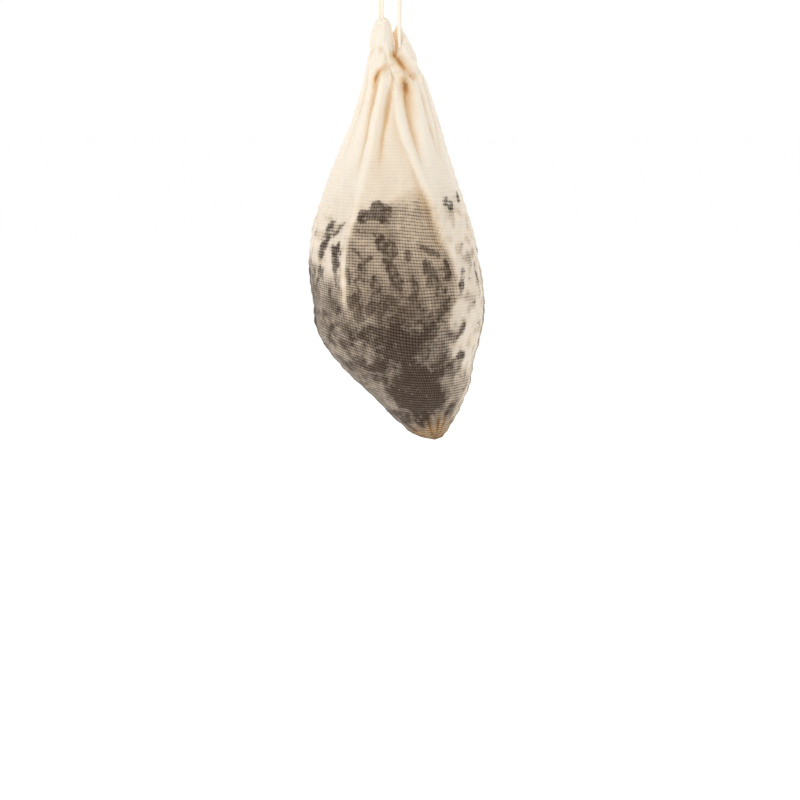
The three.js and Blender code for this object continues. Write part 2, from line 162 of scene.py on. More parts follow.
# Each fold is a line of (x, drop, height) in millimetres on one side of the bag, with how
# far it spreads on the two sides of the line. A ridge is round, a crease sharp, and a step
# stands out on one side of its line and lies back on the other.
FOLDS = [
    # front: the ridge left of the middle, bright all the way to the belly
    ("front", "ridge", (1.3, 1.2), [
        (-1.2, 30.0, 0.3), (-2.3, 33.4, 0.7), (-2.6, 38.7, 0.9), (-3.6, 44.1, 0.9),
        (-4.5, 49.4, 0.8), (-5.9, 54.8, 0.7), (-7.6, 60.2, 0.6), (-8.9, 65.6, 0.6),
        (-10.4, 71.3, 0.7), (-12.0, 76.4, 0.9), (-12.9, 84.3, 0.8), (-12.6, 93.3, 0.2),
        (-12.2, 98.0, 0.0)]),
    # front: the long fold right of the middle, with its steep side to the left
    ("front", "step", (2.6, 3.4), [
        (2.0, 31.2, 0.2), (1.6, 35.5, 0.5), (1.3, 38.7, 0.6), (1.8, 44.1, 0.7),
        (3.3, 48.9, 0.8), (4.9, 52.6, 0.9), (6.8, 57.2, 1.0), (8.6, 61.5, 1.2),
        (10.8, 66.4, 1.4), (12.2, 71.3, 1.4), (14.2, 76.5, 1.3), (16.3, 80.0, 1.1),
        (17.5, 85.0, 0.7), (18.0, 93.0, 0.3), (18.0, 98.0, 0.0)]),
    ("front", "ridge", (1.3, 1.8), [
        (5.6, 31.6, 0.2), (6.8, 34.2, 0.7), (7.7, 38.2, 0.8), (8.2, 42.0, 0.7),
        (9.1, 46.8, 0.6), (10.0, 52.8, 0.5), (11.5, 59.0, 0.2), (13.0, 64.0, 0.0)]),
    ("front", "ridge", (0.9, 1.2), [
        (8.2, 33.4, 0.4), (10.2, 39.4, 0.5), (12.7, 47.0, 0.4), (14.9, 55.2, 0.2),
        (16.5, 62.0, 0.0)]),
    ("front", "crease", (0.9, 0.7), [
        (-3.4, 31.0, 0.9), (-4.1, 34.0, 1.5), (-4.7, 37.4, 1.6), (-5.8, 42.0, 1.3),
        (-7.0, 49.5, 0.9), (-8.2, 54.9, 0.6), (-9.6, 61.9, 0.2), (-10.6, 67.0, 0.0)]),
    ("front", "crease", (0.7, 0.7), [
        (0.9, 31.4, 0.8), (0.3, 35.5, 1.7), (-0.3, 38.7, 1.7), (-1.3, 44.1, 1.2),
        (-2.3, 49.4, 0.8), (-2.9, 55.0, 0.3), (-3.3, 60.0, 0.0)]),
    ("front", "crease", (0.8, 1.2), [
        (4.0, 33.4, 1.4), (4.3, 35.5, 3.2), (4.5, 38.0, 3.0), (4.9, 41.4, 2.2),
        (6.0, 46.8, 1.5), (7.5, 52.2, 0.9), (9.3, 58.0, 0.3), (11.0, 64.0, 0.0)]),
    ("front", "crease", (0.7, 0.6), [
        (7.2, 33.0, 0.5), (9.0, 38.6, 0.9), (10.6, 44.6, 0.7), (12.6, 51.0, 0.5),
        (14.4, 58.0, 0.2), (15.6, 63.0, 0.0)]),
    ("front", "crease", (0.7, 0.7), [
        (-6.0, 33.0, 0.3), (-7.4, 38.4, 0.5), (-9.3, 45.7, 0.4), (-11.6, 53.9, 0.25),
        (-14.2, 63.4, 0.0)]),
    # front: the middle panel lies back between the two long folds
    ("front", "ridge", (4.2, 4.2), [
        (0.4, 46.0, 0.0), (0.6, 54.0, -0.7), (1.0, 62.0, -1.3), (1.2, 70.0, -1.6),
        (1.6, 78.0, -1.4), (2.4, 86.0, -0.8), (2.6, 94.0, 0.0)]),
    # front: the hem arches over the first pleats, with a shadow under it
    ("front", "step", (1.5, 1.3), [
        (-4.3, 34.6, 0.3), (-3.8, 32.6, 1.2), (-2.9, 30.7, 1.7), (-1.1, 29.2, 1.8),
        (1.0, 28.7, 1.4), (1.8, 30.0, 0.5)]),
    ("front", "crease", (0.35, 0.35), [
        (-6.2, 30.4, 0.1), (-4.4, 28.6, 0.4), (-1.9, 27.6, 0.5), (1.1, 27.9, 0.6)]),
    ("front", "step", (1.0, 0.8), [
        (0.9, 32.2, 0.2), (1.6, 31.1, 0.8), (3.1, 30.5, 0.9), (4.7, 31.1, 0.8),
        (5.6, 32.5, 0.3)]),
    # front: the lip of the right-hand hem, curled over a shaded gap
    ("front", "step", (1.2, 1.5), [
        (2.2, 24.4, 0.5), (2.6, 25.6, 1.1), (3.3, 27.0, 1.5), (4.7, 29.0, 1.6),
        (6.2, 31.1, 1.2), (8.2, 33.1, 0.6), (9.6, 34.6, 0.0)]),
    ("front", "ridge", (0.4, 0.6), [
        (2.6, 24.8, 0.3), (3.0, 25.8, 0.7), (3.8, 27.0, 0.8), (5.2, 28.9, 0.7),
        (6.8, 31.0, 0.5), (8.6, 32.8, 0.1)]),
    ("front", "crease", (0.8, 0.7), [
        (1.7, 27.2, 0.6), (2.7, 28.4, 1.2), (4.1, 30.0, 1.3), (5.6, 31.9, 1.0),
        (6.6, 33.2, 0.2)]),
    ("front", "crease", (0.6, 0.6), [
        (5.0, 26.6, 0.0), (6.4, 28.0, 0.4), (7.8, 30.2, 0.4), (8.8, 33.0, 0.0)]),
    # front: puckers in the low corner
    ("front", "step", (0.6, 0.9), [
        (1.6, 126.2, 0.1), (3.8, 128.6, 0.7), (6.4, 131.0, 0.9), (8.8, 133.0, 0.7),
        (11.0, 134.9, 0.2)]),
    ("front", "ridge", (0.9, 0.7), [
        (6.8, 126.6, 0.1), (7.6, 128.4, 0.5), (9.2, 130.2, 0.7), (11.4, 133.6, 0.3)]),
    ("front", "step", (1.2, 1.2), [
        (6.0, 126.5, 0.1), (8.2, 125.2, 0.5), (10.6, 124.6, 0.7), (13.0, 125.2, 0.4),
        (15.0, 126.4, 0.1)]),
    ("front", "crease", (0.5, 0.5), [
        (10.2, 125.5, 0.3), (10.9, 128.0, 0.9), (11.7, 131.0, 0.9), (12.5, 134.6, 0.3)]),
    ("front", "crease", (0.5, 0.5), [
        (13.6, 125.5, 0.3), (13.8, 128.5, 0.8), (13.5, 131.8, 0.7), (13.1, 134.8, 0.1)]),
    ("front", "crease", (0.5, 0.5), [
        (16.6, 123.5, 0.1), (16.0, 127.5, 0.5), (14.9, 131.5, 0.4), (13.8, 134.2, 0.1)]),
    # back: gathers that run out on the shoulder, freer than the front ones
    ("back", "crease", (1.0, 0.8), [
        (-5.0, 30.0, 0.9), (-5.9, 36.0, 1.6), (-7.7, 44.0, 1.3), (-9.9, 53.0, 0.9),
        (-12.2, 63.0, 0.5), (-13.6, 72.0, 0.0)]),
    ("back", "crease", (0.8, 1.0), [
        (-1.9, 28.5, 0.9), (-2.2, 35.0, 2.2), (-2.9, 43.0, 1.8), (-4.2, 52.0, 1.1),
        (-5.2, 62.0, 0.5), (-5.6, 70.0, 0.0)]),
    ("back", "crease", (0.9, 0.9), [
        (1.3, 28.5, 0.8), (1.7, 35.0, 1.9), (2.6, 43.0, 1.7), (3.2, 52.0, 1.2),
        (4.6, 64.0, 0.7), (6.2, 76.0, 0.2), (7.2, 82.0, 0.0)]),
    ("back", "crease", (0.8, 1.0), [
        (4.5, 29.5, 0.8), (5.4, 36.0, 1.9), (7.6, 44.0, 1.4), (9.9, 53.0, 0.9),
        (12.6, 62.0, 0.3), (14.0, 68.0, 0.0)]),
    ("back", "ridge", (3.0, 1.0), [
        (-3.8, 32.0, 0.3), (-4.4, 40.0, 0.9), (-6.6, 50.0, 1.1), (-9.0, 61.0, 1.2),
        (-10.6, 72.0, 1.2), (-11.2, 82.0, 0.7), (-11.4, 92.0, 0.0)]),
    ("back", "ridge", (1.0, 2.6), [
        (3.2, 32.0, 0.3), (4.6, 41.0, 0.8), (7.0, 51.0, 1.0), (10.0, 62.0, 1.1),
        (12.4, 73.0, 1.0), (14.0, 84.0, 0.5), (14.6, 92.0, 0.0)]),
    ("back", "ridge", (3.8, 3.8), [
        (-0.6, 48.0, 0.0), (-0.4, 58.0, -0.8), (0.2, 68.0, -1.1), (0.6, 80.0, -0.6),
        (1.0, 90.0, 0.0)]),
    # back: the bottom seam, from the low corner up to the left
    ("back", "crease", (1.1, 1.1), [
        (12.6, 134.8, 0.2), (8.0, 129.4, 0.5), (2.0, 122.4, 0.55), (-5.0, 114.2, 0.55),
        (-11.0, 107.0, 0.5), (-15.6, 100.6, 0.3), (-18.2, 96.0, 0.0)]),
    ("back", "ridge", (0.45, 0.45), [
        (12.6, 134.8, 0.2), (8.0, 129.4, 0.6), (2.0, 122.4, 0.7), (-5.0, 114.2, 0.7),
        (-11.0, 107.0, 0.65), (-15.6, 100.6, 0.4), (-18.2, 96.0, 0.0)]),
    ("back", "crease", (0.9, 0.9), [
        (3.0, 112.0, 0.0), (5.6, 119.0, 0.5), (8.8, 126.6, 0.8), (11.8, 133.4, 0.3)]),
    ("back", "crease", (0.8, 0.8), [
        (12.6, 116.0, 0.0), (13.2, 122.0, 0.5), (13.3, 128.0, 0.6), (13.0, 133.8, 0.2)]),
    # sides, where x stands for the place from front to back
    ("left", "crease", (0.8, 0.8), [
        (-2.4, 27.0, 0.5), (-3.0, 34.0, 0.9), (-4.1, 44.0, 0.7), (-5.4, 55.0, 0.4),
        (-7.0, 68.0, 0.0)]),
    ("left", "crease", (0.8, 0.8), [
        (2.6, 27.0, 0.5), (3.4, 35.0, 1.0), (4.7, 45.0, 0.8), (6.4, 57.0, 0.4),
        (7.6, 68.0, 0.0)]),
    ("right", "crease", (0.8, 0.8), [
        (-2.6, 29.0, 0.5), (-3.1, 36.0, 0.9), (-4.6, 47.0, 0.7), (-6.4, 60.0, 0.3),
        (-7.6, 70.0, 0.0)]),
    ("right", "crease", (0.8, 0.8), [
        (2.5, 29.0, 0.6), (3.3, 37.0, 1.0), (4.8, 48.0, 0.8), (6.6, 61.0, 0.4),
        (8.2, 74.0, 0.0)]),
]

# Leaves that press against the front: x, drop, length, turn in degrees, width
FRONT_LEAVES = [
    (-2.2, 68.9, 6.0, 45, 4.6), (-7.4, 70.1, 4.9, -25, 2.6), (-6.3, 74.0, 4.6, 8, 1.5),
    (-2.2, 76.9, 4.6, 85, 2.4), (0.3, 76.1, 2.6, 80, 1.6), (-8.8, 79.7, 6.3, 38, 2.6),
    (1.9, 86.5, 7.1, 75, 2.8), (-0.5, 82.0, 5.7, 80, 1.8), (11.0, 79.0, 5.4, 30, 2.6),
    (10.7, 84.6, 5.7, 70, 2.4), (15.7, 84.6, 5.4, 85, 1.6), (14.8, 89.4, 5.1, 80, 2.6),
    (16.0, 66.8, 3.4, 55, 2.4), (18.6, 65.5, 2.0, 10, 1.4), (24.1, 87.7, 8.0, 80, 1.4),
    (19.6, 89.1, 3.7, 80, 1.2), (-17.2, 75.5, 10.3, 100, 1.8), (-13.8, 73.6, 4.3, -50, 1.6),
    (-14.6, 81.5, 8.0, 95, 2.2), (-19.3, 85.6, 2.3, 70, 1.2), (-16.4, 89.9, 5.1, 85, 1.6),
    (-9.6, 93.4, 4.9, 20, 3.4), (-8.3, 97.0, 3.7, 80, 2.4), (-3.8, 93.4, 4.0, 60, 2.6),
    (-0.3, 93.0, 4.9, 40, 3.0), (3.6, 97.2, 7.4, 60, 3.6), (12.6, 96.1, 8.0, -15, 2.2),
    (10.5, 101.4, 6.9, -70, 3.4), (0.8, 105.2, 5.7, 85, 2.0), (13.6, 109.1, 7.7, 95, 2.2),
    (5.5, 111.2, 4.0, 10, 2.6), (6.9, 116.7, 9.7, 15, 4.6), (10.3, 121.3, 4.9, -20, 4.4),
    (19.4, 101.7, 4.0, -60, 1.2), (19.6, 109.0, 2.3, 10, 1.6), (17.9, 124.8, 4.3, 100, 1.6),
    (-5.5, 100.8, 4.6, -30, 2.4), (-11.1, 101.2, 4.0, 60, 1.8), (6.0, 104.9, 4.6, 20, 2.4),
    (2.2, 120.4, 4.6, 60, 3.0), (-3.8, 88.2, 5.1, 75, 2.2), (4.9, 80.1, 2.9, 80, 1.4),
    (6.3, 92.2, 4.3, 100, 2.0), (-2.8, 109.5, 5.1, 70, 2.0),
]
# The four shapes of a leaf, and which of them the front leaves take in turn
WHOLE, FOLDED, TWISTED, BROKEN = range(4)
FRONT_SHAPES = (WHOLE, WHOLE, FOLDED)
FRONT_DEPTH = 0.12  # millimetres under the cloth
LEAF_HEIGHT = 0.6  # scale of a leaf's own height, as a share of its length
# Loose leaves: their highest, lowest and commonest drop, and their sizes in millimetres
LOOSE_DROPS = (70, 131, 92)
LOOSE_LENGTHS = (1.6, 5.6)
LOOSE_WIDTHS = (0.25, 0.5)  # as shares of the length
LOOSE_WIDEST = 1.7
LOOSE_DEPTHS = (0.12, 0.12, 0.2, 0.4, 0.7, 1.2)  # under the cloth
PALE_DEPTHS = (0.5, 0.7, 0.9, 1.3)  # under the pale panel

# Edge of the evenly soaked tea on the front, from the left side down to the corner: drop, x
SOAKED_EDGE = [
    (80, -24), (86, -18), (93, -13), (98, -9), (103, -5), (110, 0), (118, 5), (124, 9), (136, 13),
]
# Edge between the middle and the paler right-hand panel: drop, x
PALE_EDGE = [
    (60, 9.0), (70, 12.4), (77, 14.8), (84, 17.4), (93, 18.2), (98, 16.8), (103, 17.8),
    (109, 17.0), (116, 18.0), (122, 17.8), (130, 17.4), (136, 15.0),
]

# Line of the long ridge left of the middle: drop, x
LEFT_RIDGE = [(60, -7.6), (72, -10.8), (85, -12.9), (95, -12.6)]
# Darkest packed tea on the front: how dark, x and its spread, drop and its spread
DARK_HEARTS = [(2.4, 8, 7, 120.5, 8.5), (1.05, 4, 9, 104, 12)]

# Painted shade in the gaps of the gathers and in the low corner: how wide, then x, drop and how
# dark
GAPS = [
    (1.25, [
        (1.0, 26.8, 1.0), (1.8, 27.6, 1.1), (2.8, 28.9, 1.15), (4.0, 30.4, 1.0), (5.2, 32.0, 0.5)]),
    (1.6, [
        (3.8, 33.4, 0.9), (4.1, 34.8, 1.2), (4.4, 36.2, 1.15), (4.8, 38.4, 0.7),
        (6.0, 43.0, 0.35)]),
    (0.8, [
        (-4.3, 35.6, 0.7), (-3.9, 32.9, 1.15), (-3.0, 31.1, 1.05), (-1.3, 29.7, 0.6),
        (0.6, 29.3, 0.3)]),
    (0.55, [
        (1.5, 31.8, 0.3), (3.1, 31.0, 0.5), (4.9, 31.7, 0.7), (5.7, 32.5, 1.15), (6.4, 33.2, 0.8)]),
    (0.5, [(10.0, 126.0, 0.4), (10.9, 129.5, 1.1), (11.9, 133.6, 0.9)]),
    (0.45, [(13.7, 126.0, 0.4), (13.8, 129.5, 1.1), (13.3, 133.8, 0.9)]),
    (0.35, [(15.8, 126.5, 0.3), (15.2, 130.0, 0.9), (14.0, 133.6, 0.7)]),
    (0.7, [(5.6, 132.0, 0.6), (7.6, 133.5, 0.9), (9.8, 134.8, 0.9)]),
]

# Dark tea washed down beside the low corner: how wide, then x, drop and how dark
WASHED_TEA = [
    (0.9, [(3.8, 129.6, 0.9), (4.9, 130.6, 1.0), (8.1, 132.7, 1.0)]),
    (1.1, [(7.8, 129.4, 0.8), (9.4, 130.8, 1.0)]),
]

# Rim of the mouth: x and drop, from the left ear to the right one
RIM_HALF = 3.9
FRONT_RIM = [
    (-3.9, 17.6), (-3.0, 16.7), (-2.2, 16.8), (-1.1, 18.3), (-0.6, 20.8), (-0.2, 24.0),
    (0.3, 26.6), (0.9, 27.0), (1.4, 26.0), (2.0, 24.8), (2.7, 24.0), (3.3, 23.2), (3.9, 21.8),
]
BACK_RIM = [
    (-3.9, 17.6), (-3.0, 16.7), (-2.1, 17.1), (-1.0, 19.0), (0.1, 20.9), (0.9, 20.3),
    (1.7, 19.2), (2.5, 18.7), (3.1, 19.1), (3.6, 20.3), (3.9, 21.8),
]
# The narrow mouth inside the hem: drop, left and right edge
MOUTH = [
    (14.0, -2.0, 1.9), (17.0, -1.4, 1.9), (19.0, -0.6, 2.0), (21.0, -0.2, 2.1),
    (24.0, 0.1, 2.2), (26.0, 0.4, 2.1), (28.0, 0.5, 1.6), (36.0, 0.7, 1.4),
]
MOUTH_FRONT = -2.3
MOUTH_BACK = -0.4
CASING_HEIGHT = 8.0
DOME_RISE = 0.9
NECK_HEIGHT = 14.0

# What is added to the cloth beside the folds, as heights and distances in millimetres
GATHER_HEIGHT = 0.42
GATHER_LESS_IN_FRONT = 0.28
FINE_GATHER_HEIGHT = 0.2
CREASE_HEIGHT = 0.4
CASING_PUFF = 0.55
STITCH_DRAW = 0.35
SEAM_HEIGHT = 0.45
SEAM_PUCKER = 0.13
SEAM_PUCKER_PITCH = 3.1
BROAD_LUMP_HEIGHT = 0.55
LEAF_LIFT = 0.22
LIFTED_GAP = 2.2  # extra distance to the tea under the two long folds
FOLD_ROOM = 1.2  # how deep a fold can go in the casing
NECK_FOLD_ROOM = 1.6  # and how much deeper below it
CORD_CLEARANCE = 0.15
HEM_DROP = 17.5  # where the cords go into the hem
MOUTH_MIDDLE = 0.5  # x

# How far the rows of the weave lean, in degrees: down to the left above the low corner,
# and up to the right at the tea's top
ROW_LEAN = 17
ROW_BROW = 7

# Stitches of the hem in millimetres
STITCH_PITCH = 1.9
STITCH_LENGTH = 1.25
STITCH_RADIUS = 0.12
STITCH_BOW = 0.11
STITCH_SINK = 0.1

# Rows and columns of the cloth's grid
COLUMNS = 272
HEM_ROWS = 7
DOME_ROWS = 8
CASING_ROWS = 22
NECK_ROWS = 30
BODY_ROWS = 102
FIRST_OUTER_ROW = HEM_ROWS + DOME_ROWS
DOME_TOP_ROW = HEM_ROWS + DOME_ROWS // 2


class BagSizes(bpy.types.PropertyGroup):
    cloth_thickness: bpy.props.FloatProperty(
        name="Cloth thickness", description="Thickness of the wet muslin",
        default=0.42 * MM, unit="LENGTH")
    row_pitch: bpy.props.FloatProperty(
        name="Row pitch", description="Distance between the level threads",
        default=0.89 * MM, unit="LENGTH")
    column_pitch: bpy.props.FloatProperty(
        name="Column pitch", description="Distance between the upright threads",
        default=0.9375 * MM, unit="LENGTH")
    girth: bpy.props.FloatProperty(
        name="Girth", description="Cloth round the bag, a whole number of column pitches",
        default=150 * MM, unit="LENGTH")
    cord_diameter: bpy.props.FloatProperty(
        name="Cord diameter", description="Diameter of both drawstrings",
        default=0.9 * MM, unit="LENGTH")
    loose_leaves: bpy.props.IntProperty(
        name="Loose leaves", description="Number of small leaves against the cloth",
        default=640)
    floor_drop: bpy.props.FloatProperty(
        name="Floor", description="How far the floor lies below the hold point",
        default=260 * MM, unit="LENGTH")


class BagColours(bpy.types.PropertyGroup):
    cream: bpy.props.FloatVectorProperty(
        name="Cream", description="Clean cloth", default=(0.88, 0.77, 0.65), subtype="COLOR")
    pale: bpy.props.FloatVectorProperty(
        name="Pale", description="Wet cloth with no tea behind it",
        default=(0.77, 0.645, 0.505), subtype="COLOR")
    # tea stain, and also the painted shade in the shallower folds
    stain: bpy.props.FloatVectorProperty(
        name="Stain", description="Cloth that tea has run through",
        default=(0.68, 0.44, 0.22), subtype="COLOR")
    # painted shade at the bottom of a deep fold
    deep_fold_shade: bpy.props.FloatVectorProperty(
        name="Deep stain", description="Bottom of a deep fold",
        default=(0.42, 0.19, 0.05), subtype="COLOR")
    # painted highlight along the crests of the folds
    crest: bpy.props.FloatVectorProperty(
        name="Crest", description="Cloth that stands out along a fold",
        default=(0.95, 0.89, 0.79), subtype="COLOR")
    over_leaf: bpy.props.FloatVectorProperty(
        name="Over a leaf", description="Threads over a dark leaf",
        default=(0.045, 0.024, 0.013), subtype="COLOR")
    clean_hole: bpy.props.FloatVectorProperty(
        name="Clean hole", description="Gap between threads with no tea behind it",
        default=(0.62, 0.48, 0.34), subtype="COLOR")
    # painted glints on the wet threads over the packed tea
    painted_glint: bpy.props.FloatVectorProperty(
        name="Speck", description="Pale fibre ends over the packed tea",
        default=(0.75, 0.72, 0.68), subtype="COLOR")
    # colour of a painted glow that stands in for light through the cloth
    daylight: bpy.props.FloatVectorProperty(
        name="Daylight", description="Light that comes through a single layer",
        default=(0.16, 0.115, 0.062), subtype="COLOR")
    leaf: bpy.props.FloatVectorProperty(
        name="Leaf", description="Soaked tea", default=(0.03, 0.02, 0.015), subtype="COLOR")
    cord: bpy.props.FloatVectorProperty(
        name="Cord", description="Cotton of the drawstrings",
        default=(0.93, 0.88, 0.80), subtype="COLOR")


# Sockets of a Mix node for colours, which share their names with those for other kinds
MIX_A = 6
MIX_B = 7
MIX_RESULT = 2


class Flow:
    """A value on its way through a material. Sums and products with it add Math nodes."""

    def __init__(self, tree, socket=None):
        self.tree = tree
        self.socket = socket

    def node(self, kind, settings=None, inputs=None, output=0):
        new = self.tree.nodes.new(kind)
        for name, value in (settings or {}).items():
            setattr(new, name, value)
        for name, value in (inputs or {}).items():
            if isinstance(value, Flow):
                self.tree.links.new(value.socket, new.inputs[name])
            else:
                new.inputs[name].default_value = value
        return Flow(self.tree, new.outputs[output])

    def math(self, operation, *values):
        return self.node("ShaderNodeMath", {"operation": operation}, dict(enumerate(values)))

    def __add__(self, other):
        return self.math("ADD", self, other)

    def __sub__(self, other):
        return self.math("SUBTRACT", self, other)

    def __mul__(self, other):
        return self.math("MULTIPLY", self, other)

    def __radd__(self, other):
        return self.math("ADD", other, self)

    def __rsub__(self, other):
        return self.math("SUBTRACT", other, self)

    def __rmul__(self, other):
        return self.math("MULTIPLY", other, self)

    def step(self, low, high):
        """0 below low, 1 above high, smooth between them. high may be the lower one."""
        turned = high < low
        span = {1: min(low, high), 2: max(low, high), 3: 1.0 if turned else 0.0}
        return self.node(
            "ShaderNodeMapRange", {"interpolation_type": "SMOOTHSTEP"},
            {0: self, **span, 4: 0.0 if turned else 1.0})

    def mix(self, a, b):
        """Colour a where this is 0 and colour b where it is 1."""
        shades = [(*c, 1.0) if isinstance(c, (tuple, list)) else c for c in (a, b)]
        return self.node(
            "ShaderNodeMix", {"data_type": "RGBA"}, {0: self, MIX_A: shades[0], MIX_B: shades[1]},
            MIX_RESULT)

    def noise(self, waves, detail=2.0, roughness=0.5):
        """Noise at this place, with so many waves in a metre."""
        return self.node(
            "ShaderNodeTexNoise", {},
            {"Vector": self, "Scale": waves, "Detail": detail, "Roughness": roughness})

    def feed(self, shader, name):
        self.tree.links.new(self.socket, shader.inputs[name])


def new_material(name):
    """A material with a Principled shader, a Flow to build with and the place on the piece."""
    material = bpy.data.materials.new(name)
    material.use_nodes = True
    tree = material.node_tree
    flow = Flow(tree)
    return material, tree.nodes["Principled BSDF"], flow, flow.node(
        "ShaderNodeTexCoord", output="Object")


def colour_of(name):
    return tuple(getattr(bpy.context.scene.tea_bag_colours, name))


def scaled(colour, shares):
    return tuple(c * s for c, s in zip(colour, shares))


def set_sockets(shader, values):
    for name, value in values.items():
        shader.inputs[name].default_value = value


def set_bump(flow, shader, height, strength, distance):
    """Bends the light on a surface by a height, in a relief of so many metres."""
    relief = flow.node(
        "ShaderNodeBump", {}, {"Strength": strength, "Distance": distance, "Height": height})
    relief.feed(shader, "Normal")


def point_value(flow, name):
    return flow.node("ShaderNodeAttribute", {"attribute_name": name}, output="Fac")


def weave(flow, place):
    """The threads: their height, the gaps between them, their crests and their slubs."""
    sizes = bpy.context.scene.tea_bag_sizes
    uv = flow.node("ShaderNodeUVMap", {"uv_map": "weave"})
    across = flow.node("ShaderNodeSeparateXYZ", inputs={0: uv}, output="X")
    down = flow.node("ShaderNodeSeparateXYZ", inputs={0: uv}, output="Y")
    # each thread is a little crooked and uneven
    wander = place.noise(WANDER_WAVES) - 0.5
    drift = place.noise(DRIFT_WAVES) - 0.5
    columns = across * (1 / sizes.column_pitch) + wander * 0.9 + drift * 0.35
    rows = down * (1 / sizes.row_pitch) + wander * 0.7 - drift * 0.35
    column_wave = flow.math("SINE", columns * math.pi)
    row_wave = flow.math("SINE", rows * math.pi)
    column_thread = flow.math("ABSOLUTE", column_wave)
    row_thread = flow.math("ABSOLUTE", row_wave)
    over = column_wave * row_wave
    height = flow.math(
        "MAXIMUM", column_thread * (over * 0.25 + 0.62), row_thread * (0.8 - over * 0.25))
    slub = place.noise(SLUB_WAVES, 3.0)
    column_gap = (1 - column_thread).step(0.3, 0.75)
    row_gap = (1 - row_thread).step(0.2, 0.7)
    hole = row_gap * (column_gap * 0.66 + 0.34) * (slub * 1.4 + 0.35)
    crest = (row_thread * 0.6 + column_thread * 0.4).step(0.55, 0.95)
    return height, hole, crest, slub


def tea_behind(flow, place, damp):
    """How dark the tea shows through, from 0 to 1, and how much of that is packed tea. What
    touches the cloth is dark, and what is a little way in is grey."""
    coarse = place.noise(PATCH_WAVES, 4.0, 0.6)
    fine = place.noise(GRAIN_WAVES, 3.0, 0.6)
    near = point_value(flow, "leaf_gap") + (fine - 0.5) * 1.3 + (coarse - 0.5) * 0.9
    leaf = near.step(1.0, 0.0) * (coarse.step(0.35, 0.6) * 0.15 + 0.85)
    behind = near.step(2.0, 0.7) * 0.14 * damp.step(0.05, 0.6)
    fine_tea = damp * (coarse.step(0.4, 0.65) * 0.18 + fine.step(0.35, 0.65) * 0.14 + 0.19)
    packed = point_value(flow, "soaked") * (
        fine.step(0.3, 0.7) * 0.14 + coarse.step(0.35, 0.65) * 0.26 + 0.42)
    dark = flow.math("MAXIMUM", leaf, fine_tea + packed + behind)
    return flow.math("MINIMUM", dark, 1.0), packed


def stained_and_shaded_cloth(flow, damp, stain, tone):
    """Colour of the cloth: pale where it is wet and brown where tea stained it, with a painted
    highlight on crests and painted brown shade in folds.
    """
    valley = point_value(flow, "valley")
    cream = tone.mix(colour_of("cream"), scaled(colour_of("cream"), (0.93, 0.93, 0.93)))
    cloth = damp.step(0.1, 0.6).mix(cream, colour_of("pale"))
    # painted highlight where the cloth stands out along a fold
    cloth = (valley * -0.6).step(0.0, 0.6).mix(cloth, colour_of("crest"))
    # painted shade in the folds, darkest at their bottoms, added to the tea stain
    fold = flow.math("MAXIMUM", valley, 0.0)
    brown = flow.math("MINIMUM", fold * 0.95 + stain * (0.55 + tone * 0.5), 0.95)
    return brown.mix(cloth, fold.step(0.78, 1.2).mix(colour_of("stain"), colour_of("deep_fold_shade")))


def cloth_material():
    material, shader, flow, place = new_material("wet_muslin")
    damp = point_value(flow, "damp")
    stain = point_value(flow, "stain")
    height, hole, crest, slub = weave(flow, place)
    dark, packed = tea_behind(flow, place, damp)
    cloth = stained_and_shaded_cloth(flow, damp, stain, place.noise(TONE_WAVES, 3.0))
    threads = (dark * (slub * 0.1 + 0.95 - crest * 0.1)).mix(cloth, colour_of("over_leaf"))
    # painted glints: pale dots on the wet threads over the packed tea
    painted_glint = place.noise(GLINT_WAVES).step(0.66, 0.78)
    threads = (painted_glint * packed * 0.5).mix(threads, colour_of("painted_glint"))
    hole_shade = (dark + stain * 0.3).step(0.0, 0.5).mix(colour_of("clean_hole"), colour_of("leaf"))
    hole_share = hole * flow.math("MINIMUM", dark * 1.9 + 0.035 + stain * 0.5, 1.0)
    hole_share.mix(threads, hole_shade).feed(shader, "Base Color")
    (0.86 - dark * 0.28).feed(shader, "Roughness")
    surface = (height + slub * 0.35 - hole * 0.4) * (dark.step(0.0, 0.4) * 0.55 + 0.45)
    set_bump(flow, shader, surface, 0.4, 0.22 * MM)
    # a painted glow in the emission stands in for the daylight that comes through the one thin
    # layer behind the mouth and in the deep gathers
    glow = point_value(flow, "through").mix((0.0, 0.0, 0.0), colour_of("daylight"))
    glow.feed(shader, "Emission Color")
    set_sockets(shader, {
        "Emission Strength": 1.0, "Subsurface Weight": 0.35,
        "Subsurface Radius": (1.0, 0.62, 0.32), "Subsurface Scale": 1.2 * MM,
        "Sheen Weight": 0.03, "Specular IOR Level": 0.12})
    return material


def cord_material(name, shade):
    """Twisted cotton, in the colour of the drawstrings or of the hem's thread."""
    material, shader, flow, place = new_material(name)
    fibre = place.noise(FIBRE_WAVES, 3.0)
    tone = place.noise(WORN_WAVES)
    worn = scaled(colour_of(shade), (0.94, 0.89, 0.8))
    (tone * 0.6 + fibre * 0.4).mix(colour_of(shade), worn).feed(shader, "Base Color")
    (0.78 + fibre * 0.16).feed(shader, "Roughness")
    set_bump(flow, shader, fibre, 0.5, 0.05 * MM)
    set_sockets(shader, {
        "Subsurface Weight": 0.1, "Subsurface Radius": (1.0, 0.7, 0.4),
        "Subsurface Scale": 0.4 * MM})
    return material


def leaf_material():
    material, shader, flow, place = new_material("soaked_tea")
    tone = place.noise(LEAF_TONE_WAVES, 4.0)
    vein = place.noise(VEIN_WAVES, 3.0)
    lighter = scaled(colour_of("leaf"), (3.0, 2.6, 1.9))
    tone.step(0.35, 0.75).mix(colour_of("leaf"), lighter).feed(shader, "Base Color")
    (0.32 + vein * 0.3).feed(shader, "Roughness")
    set_bump(flow, shader, vein, 0.5, 0.15 * MM)
    return material


def paint(piece, material):
    piece.data.materials.clear()
    piece.data.materials.append(material)


